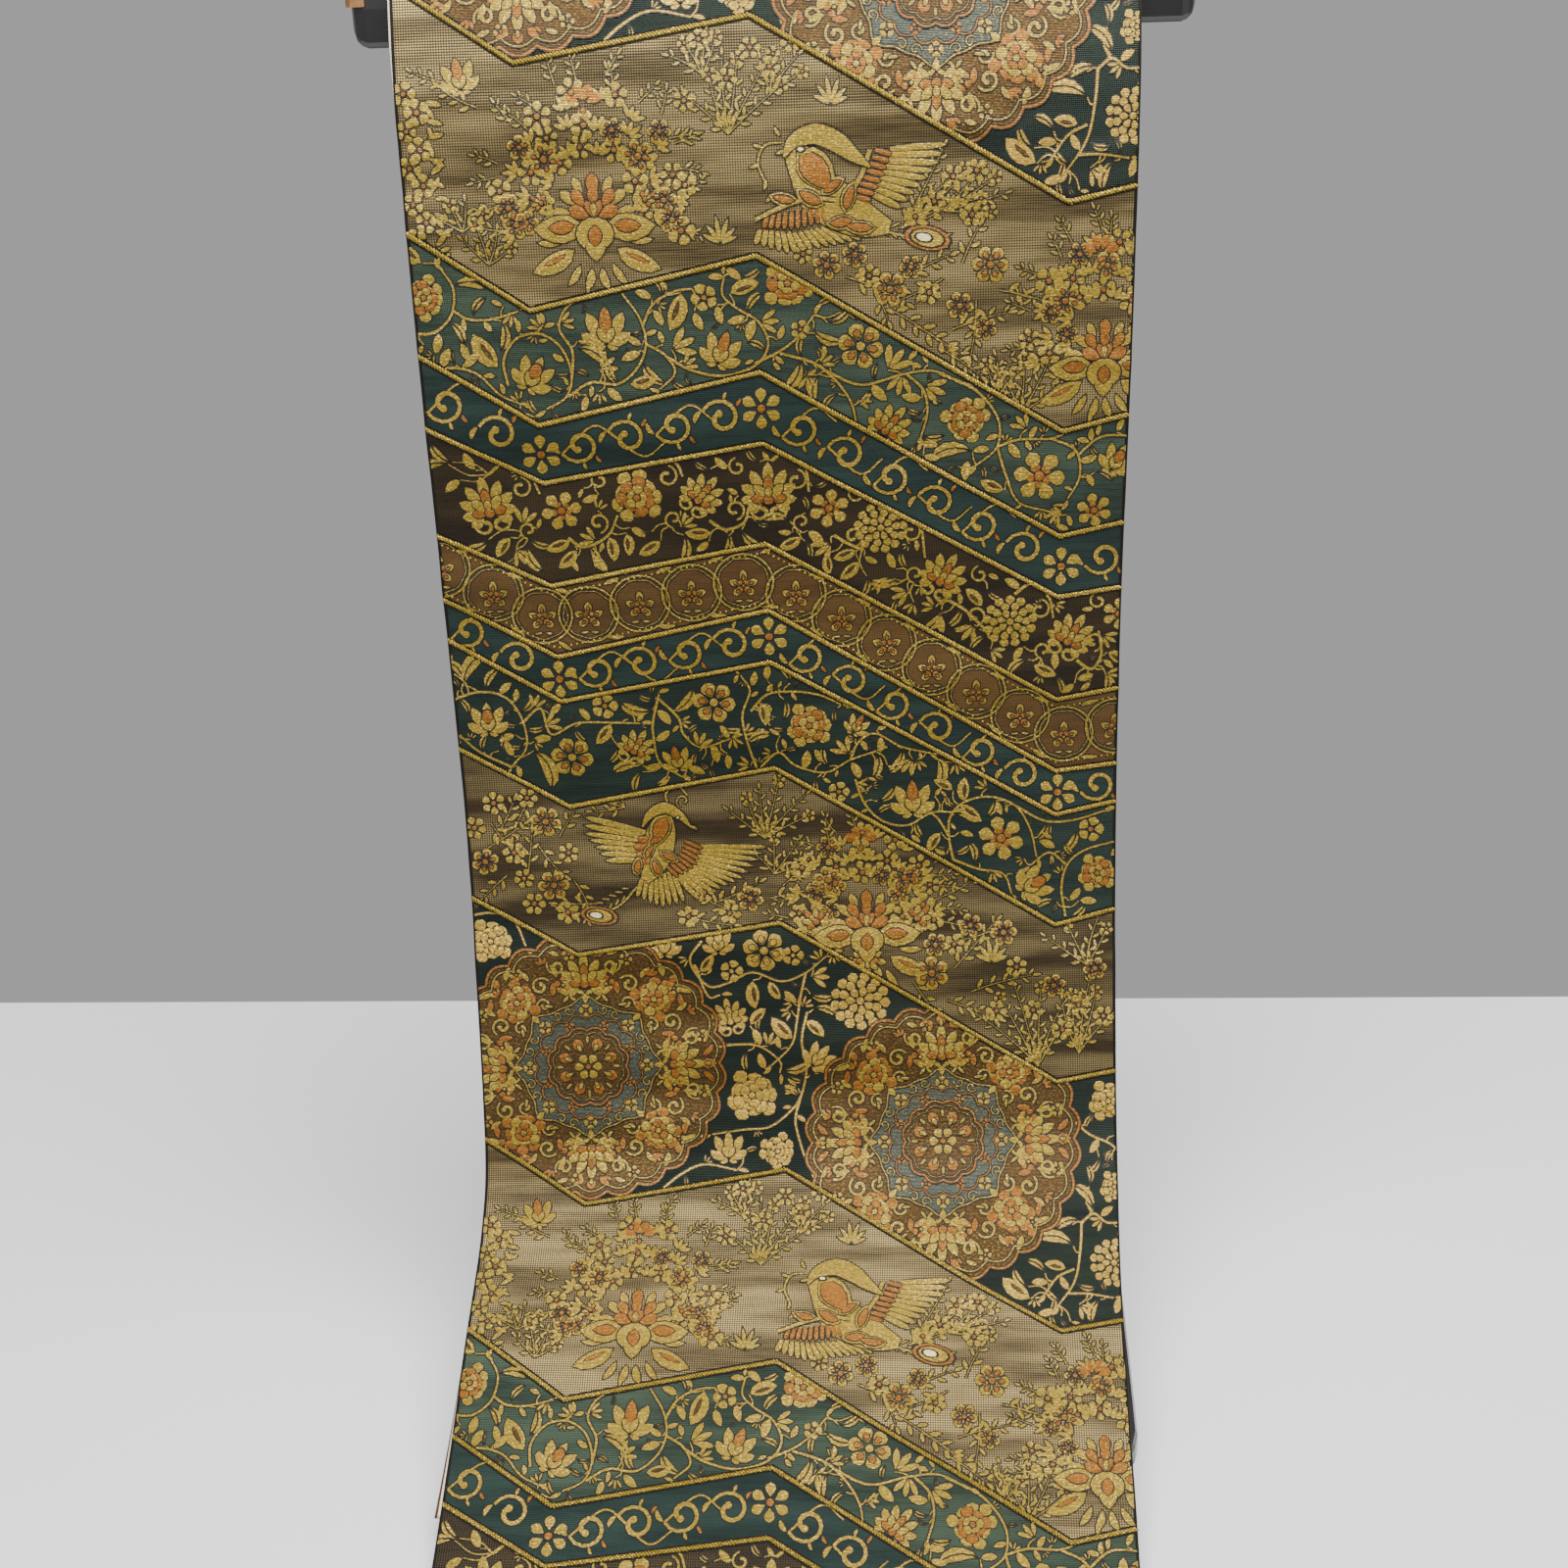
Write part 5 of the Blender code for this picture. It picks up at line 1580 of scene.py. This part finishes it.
figureEnds = (clothEnds[0] + 0.8, clothEnds[1] - 0.8)
vineFlat, roundFlat = medallionBand()
figures = {
    "figures_first_vines": vineBand(1, firstVines, firstVineFlowers, "gold", "orange", 3),
    "figures_first_scrolls": scrollBand(2, (50.0, 148.0, 282.0), "gold"),
    "figures_palmettes": palmetteBand(),
    "figures_rings": ringBand(),
    "figures_second_scrolls": scrollBand(5, (50.0, 148.0, 282.0), "gold"),
    "figures_second_vines": vineBand(6, secondVines, secondVineFlowers, "gold", "orange", 4),
    "figures_wide_gauze": wideGauzeBand(),
    "figures_dark_gauze": darkGauzeBand(),
    "figures_medallion_vines": vineFlat,
    "figures_medallions": roundFlat,
}
figureTriangles = 0
for label, flat in figures.items():
    low = min(flat.points[k][1] for face in flat.faces for k in face)
    high = max(flat.points[k][1] for face in flat.faces for k in face)
    firstTurn = math.ceil((figureEnds[0] - high) / sash["repeat"])
    lastTurn = math.floor((figureEnds[1] - low) / sash["repeat"])
    whole = clipFlat(repeatFlat(flat, firstTurn, lastTurn), ends=figureEnds)
    finishPiece(pieceFromFlat(label, whole, threads), "brocade")
    figureTriangles += countTriangles(whole.faces)
print("figures", figureTriangles, "triangles")

# What repeats along a path

def makeSetAlong():
    # small stitches set along a flat path: each one turned to the path and then slanted
    tree = bpy.data.node_groups.new("setAlong", "GeometryNodeTree")
    for label, kind, value in (("Spacing", "NodeSocketFloat", 2.0), ("Slant", "NodeSocketFloat", 0.6),
                               ("Size", "NodeSocketVector", (1.0, 1.0, 1.0)),
                               ("Unevenness", "NodeSocketFloat", 0.1),
                               ("Seed", "NodeSocketInt", 3)):
        if label == "Spacing":
            tree.interface.new_socket("Path", in_out="INPUT", socket_type="NodeSocketGeometry")
        socket = tree.interface.new_socket(label, in_out="INPUT", socket_type=kind)
        socket.default_value = value
    tree.interface.new_socket("Material", in_out="INPUT", socket_type="NodeSocketMaterial")
    tree.interface.new_socket("Stitches", in_out="OUTPUT", socket_type="NodeSocketGeometry")
    link = tree.links.new

    def make(kind, **settings):
        node = tree.nodes.new(kind)
        for label, value in settings.items():
            setattr(node, label, value)
        return node

    inside, out = make("NodeGroupInput"), make("NodeGroupOutput")
    spots = make("GeometryNodeCurveToPoints", mode="LENGTH")
    link(inside.outputs["Path"], spots.inputs["Curve"])
    link(inside.outputs["Spacing"], spots.inputs["Length"])
    facing = make("FunctionNodeAlignRotationToVector", axis="X", pivot_axis="Z")
    link(spots.outputs["Tangent"], facing.inputs["Vector"])
    jitter = make("FunctionNodeRandomValue", data_type="FLOAT")
    jitter.inputs[2].default_value = -1.0
    jitter.inputs[3].default_value = 1.0
    link(inside.outputs["Seed"], jitter.inputs["Seed"])
    swing = make("ShaderNodeMath", operation="MULTIPLY_ADD")
    link(jitter.outputs[1], swing.inputs[0])
    link(inside.outputs["Unevenness"], swing.inputs[1])
    link(inside.outputs["Slant"], swing.inputs[2])
    lean = make("ShaderNodeCombineXYZ")
    link(swing.outputs[0], lean.inputs[2])
    toRotation = make("FunctionNodeEulerToRotation")
    link(lean.outputs[0], toRotation.inputs[0])
    turned = make("FunctionNodeRotateRotation", rotation_space="LOCAL")
    link(facing.outputs[0], turned.inputs[0])
    link(toRotation.outputs[0], turned.inputs[1])
    stitch = make("GeometryNodeMeshUVSphere")
    for label, value in (("Segments", 6), ("Rings", 3), ("Radius", 0.5)):
        stitch.inputs[label].default_value = value
    setOn = make("GeometryNodeInstanceOnPoints")
    link(spots.outputs["Points"], setOn.inputs["Points"])
    link(stitch.outputs["Mesh"], setOn.inputs["Instance"])
    link(turned.outputs[0], setOn.inputs["Rotation"])
    link(inside.outputs["Size"], setOn.inputs["Scale"])
    real = make("GeometryNodeRealizeInstances")
    link(setOn.outputs[0], real.inputs[0])
    dress = make("GeometryNodeSetMaterial")
    link(real.outputs[0], dress.inputs[0])
    link(inside.outputs["Material"], dress.inputs["Material"])
    link(dress.outputs[0], out.inputs[0])
    return tree


setAlong = makeSetAlong()


def stitchesAlong(name, paths, values, material, lift):
    # the stitches are set on the flat cloth, then draped with it
    curve = bpy.data.curves.new(name + "_path", "CURVE")
    curve.dimensions = "3D"
    for path in paths:
        spline = curve.splines.new("POLY")
        spline.points.add(len(path) - 1)
        for point, (u, s) in zip(spline.points, path):
            point.co = (u, s, 0.0, 1.0)
    guide = addItem(name + "_path", curve)
    modifier = guide.modifiers.new("set along", "NODES")
    modifier.node_group = setAlong
    for socket in setAlong.interface.items_tree:
        if socket.in_out == "INPUT" and socket.name in values:
            modifier[socket.identifier] = values[socket.name]
        if socket.in_out == "INPUT" and socket.name == "Material":
            modifier[socket.identifier] = material
    graph = bpy.context.evaluated_depsgraph_get()
    mesh = bpy.data.meshes.new_from_object(guide.evaluated_get(graph))
    guide.modifiers.clear()
    bpy.data.objects.remove(guide)
    flat = np.zeros(len(mesh.vertices) * 3)
    mesh.vertices.foreach_get("co", flat)
    flat = flat.reshape(-1, 3)
    places = drape(flat[:, 0], flat[:, 1], flat[:, 2] + lift)
    mesh.vertices.foreach_set("co", places.ravel())
    mesh.name = name
    addFlatMap(mesh, flat[:, :2])
    rim = mesh.attributes.new("rim", "FLOAT", "POINT")
    rim.data.foreach_set("value", np.full(len(flat), 2.0, dtype=np.float32))
    mesh.materials.clear()
    mesh.materials.append(material)
    mesh.flip_normals()
    mesh.shade_smooth()
    item = addItem(name, mesh)
    print(name, len(mesh.polygons), "faces")
    return item


rope = {"strand": 1.4, "slant": 0.72, "bed": 3.7, "size": (3.8, 1.5, 0.62)}


def bandPath(k, low=0.9, high=309.1):
    columns = [low] + lineKnots[1:-1] + [high]
    return [(u, float(lineAt(k, u))) for u in columns]


def runsInside(path):
    # the stretches of a path that lie between the two ends of the cloth
    runs = [[]]
    for u, s in densePath(path, 3.0):
        if figureEnds[0] + 1.6 < s < figureEnds[1] - 1.6:
            runs[-1].append((u, s))
        elif runs[-1]:
            runs.append([])
    return [run for run in runs if len(run) > 1]


ropePaths = [run for k in range(firstBand, lastBand) for run in runsInside(bandPath(k))]
ropeLines = stitchesAlong("rope_lines", ropePaths, {"Spacing": rope["strand"], "Slant": rope["slant"],
                          "Size": rope["size"], "Unevenness": 0.14, "Seed": 4}, threads["gold"], 0.22)
finishPiece(ropeLines, "brocade")
bed = FlatWork()
for spine in ropePaths:
    bed.strip(spine, np.full(len(spine), rope["bed"] / 2.0), "dark", 0.02, 0.1, columns=narrow)
finishPiece(pieceFromFlat("rope_bed", clipFlat(bed, ends=figureEnds), threads), "brocade")
dotPaths = []
for turn in range(-2, 2):
    for part in (0.12, 0.88):
        dotPaths += runsInside([(u, float(inBand(4 + 9 * turn, u,
                                                 part))) for u in [2.0] + lineKnots[1:-1] + [308.0]])
dots = stitchesAlong("ring_band_dots", dotPaths, {"Spacing": 2.7, "Slant": 0.0, "Size": (1.3, 1.5, 0.5),
                     "Unevenness": 0.2, "Seed": 9}, threads["gold"], 0.1)
finishPiece(dots, "brocade")

selvedges = FlatWork()
for u in (0.75, sash["width"] - 0.75):
    spine = [(u, s) for s in np.arange(figureEnds[0], figureEnds[1], 4.0)]
    selvedges.strip(spine, np.full(len(spine), 0.7), "dark", 0.05, 0.02, columns=narrow)
finishPiece(pieceFromFlat("selvedge_piping", selvedges, threads), "brocade")

# Lining and hidden plies

def plainFlat(low, high, cellAcross, cellAlong, thread):
    work = FlatWork()
    columns = np.linspace(0.0, sash["width"], int(sash["width"] / cellAcross) + 1)
    rows = np.linspace(low, high, int((high - low) / cellAlong) + 1)
    grid = np.zeros((len(rows), len(columns), 3))
    grid[:, :, 0] = columns[None, :]
    grid[:, :, 1] = rows[:, None]
    work.addGrid(grid, np.zeros(grid.shape[:2]), thread)
    return work


liningFlat = plainFlat(-662.0, clothEnds[1] - 0.6, 7.8, 6.5, "cream")
liningShift = {"left": 0.9, "from": 40.0, "over": 30.0}      # it shows a hair at the left, near the rail
liningFlat.points = [(u - liningShift["left"] * min(1.0, max(0.0, (liningShift["from"] - s)
                      / liningShift["over"])), s, h) for u, s, h in liningFlat.points]
lining = wallFromFlat("lining_cloth", liningFlat, -1.4, -2.4,
                      {"cream": creamFinish}, creamFinish)
finishPiece(lining, "lining", *liningNodes)

# the plies end in a fold under the tail, where each has slipped a little to the left
plies = {"foldAt": 712.0, "topOf": -662.0, "slip": 3.6, "slipsFrom": 612.0, "rows": 190, "columns": 24}


def hiddenPly(name, outside, thick, share, outer, inner, foldAt):
    # one folded-under ply: a wall with rounded edges, cream on one side and brocade on the other
    depth = outside - thick * np.array([0.0, 0.5, 1.0])
    inward = np.linspace(8.0, 302.0, plies["columns"])
    outward = np.linspace(302.0, 8.0, plies["columns"])
    ring = np.array([(0.5, depth[0])] + [(u, depth[0]) for u in inward]
                    + [(309.5, depth[0]), (310.0, depth[1]), (309.5, depth[2])]
                    + [(u, depth[2]) for u in outward] + [(0.5, depth[2]), (0.0, depth[1])])
    rows = np.append(np.linspace(plies["topOf"], foldAt - 1.2, plies["rows"]), [foldAt - 0.4, foldAt])
    squeeze = np.append(np.ones(plies["rows"]), [0.75, 0.3])
    places, flat = [], []
    for s, tight in zip(rows, squeeze):
        slipped = max(0.0, (s - plies["slipsFrom"]) / (plies["foldAt"] - plies["slipsFrom"]))
        slip = plies["slip"] * share * slipped
        h = depth[1] + (ring[:, 1] - depth[1]) * tight
        places.append(drape(ring[:, 0] - slip, np.full(len(ring), s), h))
        flat.append(np.column_stack([ring[:, 0], np.full(len(ring), s)]))
    count = len(ring)
    faces, kinds = [], []
    for i in range(len(rows) - 1):
        for j in range(count):
            n = (j + 1) % count
            faces.append([i * count + j, i * count + n, (i + 1) * count + n, (i + 1) * count + j][::-1])
            front = ring[j, 1] >= depth[1] and ring[n, 1] >= depth[1]
            kinds.append(0 if front else 1)
    faces.append([*range(count)])
    faces.append([(len(rows) - 1) * count + j for j in range(count)][::-1])
    kinds += [0, 0]
    mesh = bpy.data.meshes.new(name)
    mesh.from_pydata(np.vstack(places).tolist(), [], faces)
    mesh.materials.append(outer)
    mesh.materials.append(inner)
    mesh.polygons.foreach_set("material_index", kinds)
    addFlatMap(mesh, np.vstack(flat))
    mesh.shade_smooth()
    mesh.set_sharp_from_angle(angle=math.radians(50.0))
    return addItem(name, mesh)


middlePly = hiddenPly("hidden_ply_cream", -2.9, 1.7, 0.55, creamFinish, groundFinish["rings"],
                      plies["foldAt"])
innerPly = hiddenPly("hidden_ply_brocade", -4.7, 1.7, 1.0, groundFinish["rings"], creamFinish,
                     plies["foldAt"] - 0.5)
finishPiece(middlePly, "lining", *innerNodes)
finishPiece(innerPly, "lining")

# Finishes of the stand

def standFinish(name, scale, detail, dark, light, spread, least, values):
    # one colour worn into another, and a sheen that wanders with it
    material, tree, surface = newMaterial(name)
    where = tree.nodes.new("ShaderNodeTexCoord")
    haze = tree.nodes.new("ShaderNodeTexNoise")
    haze.inputs["Scale"].default_value = scale
    haze.inputs["Detail"].default_value = detail
    tree.links.new(where.outputs["Object"], haze.inputs["Vector"])
    tree.links.new(blendColour(tree, haze.outputs["Fac"], srgb(*dark), srgb(*light)), surface["Base Color"])
    tree.links.new(calc(tree, "MULTIPLY_ADD", haze.outputs["Fac"], spread, least), surface["Roughness"])
    for label, value in values.items():
        surface[label].default_value = value
    return material


lacquer = standFinish("blackLacquer", 38.0, 4.0, (14, 13, 14), (30, 28, 29), 0.2, 0.22,
                      {"Coat Weight": 0.4, "Coat Roughness": 0.18})
brass = standFinish("dullBrass", 160.0, 2.0, (120, 84, 52), (186, 140, 92), 0.25, 0.3, {"Metallic": 0.8})
for label in ("rail", "post_left", "post_right", "brace", "foot_left", "foot_right"):
    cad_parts[label].material_slots[0].material = lacquer
for label in ("cap_left", "cap_right"):
    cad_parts[label].material_slots[0].material = brass

# Table, light and camera

def addTable():
    mesh = bpy.data.meshes.new("table_top")
    left, right, front, under = -3.0, 3.0, -3.0, -0.03
    backLeft, backRight = 0.51, 0.156                     # the back edge runs a little askew
    corners = [(left, front), (right, front), (right, backRight), (left, backLeft)]
    verts = [(x, y, -0.0002) for x, y in corners] + [(x, y, under) for x, y in corners]
    faces = [(0, 1, 2, 3), (7, 6, 5, 4), (0, 4, 5, 1), (1, 5, 6, 2), (2, 6, 7, 3), (3, 7, 4, 0)]
    mesh.from_pydata(verts, [], faces)
    table = addItem("table_top", mesh)
    material, _, surface = newMaterial("paleTable")
    surface["Base Color"].default_value = srgb(226, 227, 229)
    surface["Roughness"].default_value = 0.6
    mesh.materials.append(material)


def addLight(name, place, aim, size, power):
    light = bpy.data.lights.new(name, "AREA")
    light.shape = "RECTANGLE"
    light.size, light.size_y = size
    light.energy = power
    lamp = addItem(name, light)
    lamp.location = place
    lamp.rotation_euler = (Vector(aim) - Vector(place)).to_track_quat("-Z", "Y").to_euler()


def addCamera():
    eye = {"place": (-0.0068, -0.9134 + rowShift * mm, 0.698), "down": 24.06, "roll": 0.0335,
           "lens": 48.375}
    data = bpy.data.cameras.new("eye")
    data.lens = eye["lens"]
    data.sensor_width = 36.0
    camera = addItem("eye", data)
    camera.location = eye["place"]
    tilt = math.radians(90.0 - eye["down"])
    turned = Matrix.Rotation(tilt, 3, "X") @ Matrix.Rotation(-eye["roll"], 3, "Z")
    camera.rotation_euler = turned.to_euler()
    bpy.context.scene.camera = camera


addTable()
addLight("ceiling", (0.1, -0.45, 1.9), (0.0, 0.0, 0.2), (1.8, 0.9), 92.0)
addLight("window", (-1.0, -1.5, 1.2), (0.0, 0.0, 0.3), (1.1, 0.8), 3.0)
addLight("fill", (1.3, -1.2, 0.9), (0.0, 0.0, 0.3), (1.0, 1.0), 2.0)
world = bpy.data.worlds.new("room")
world.use_nodes = True
background = world.node_tree.nodes["Background"].inputs
background["Color"].default_value = srgb(176, 174, 174)
background["Strength"].default_value = 0.9
bpy.context.scene.world = world
addCamera()
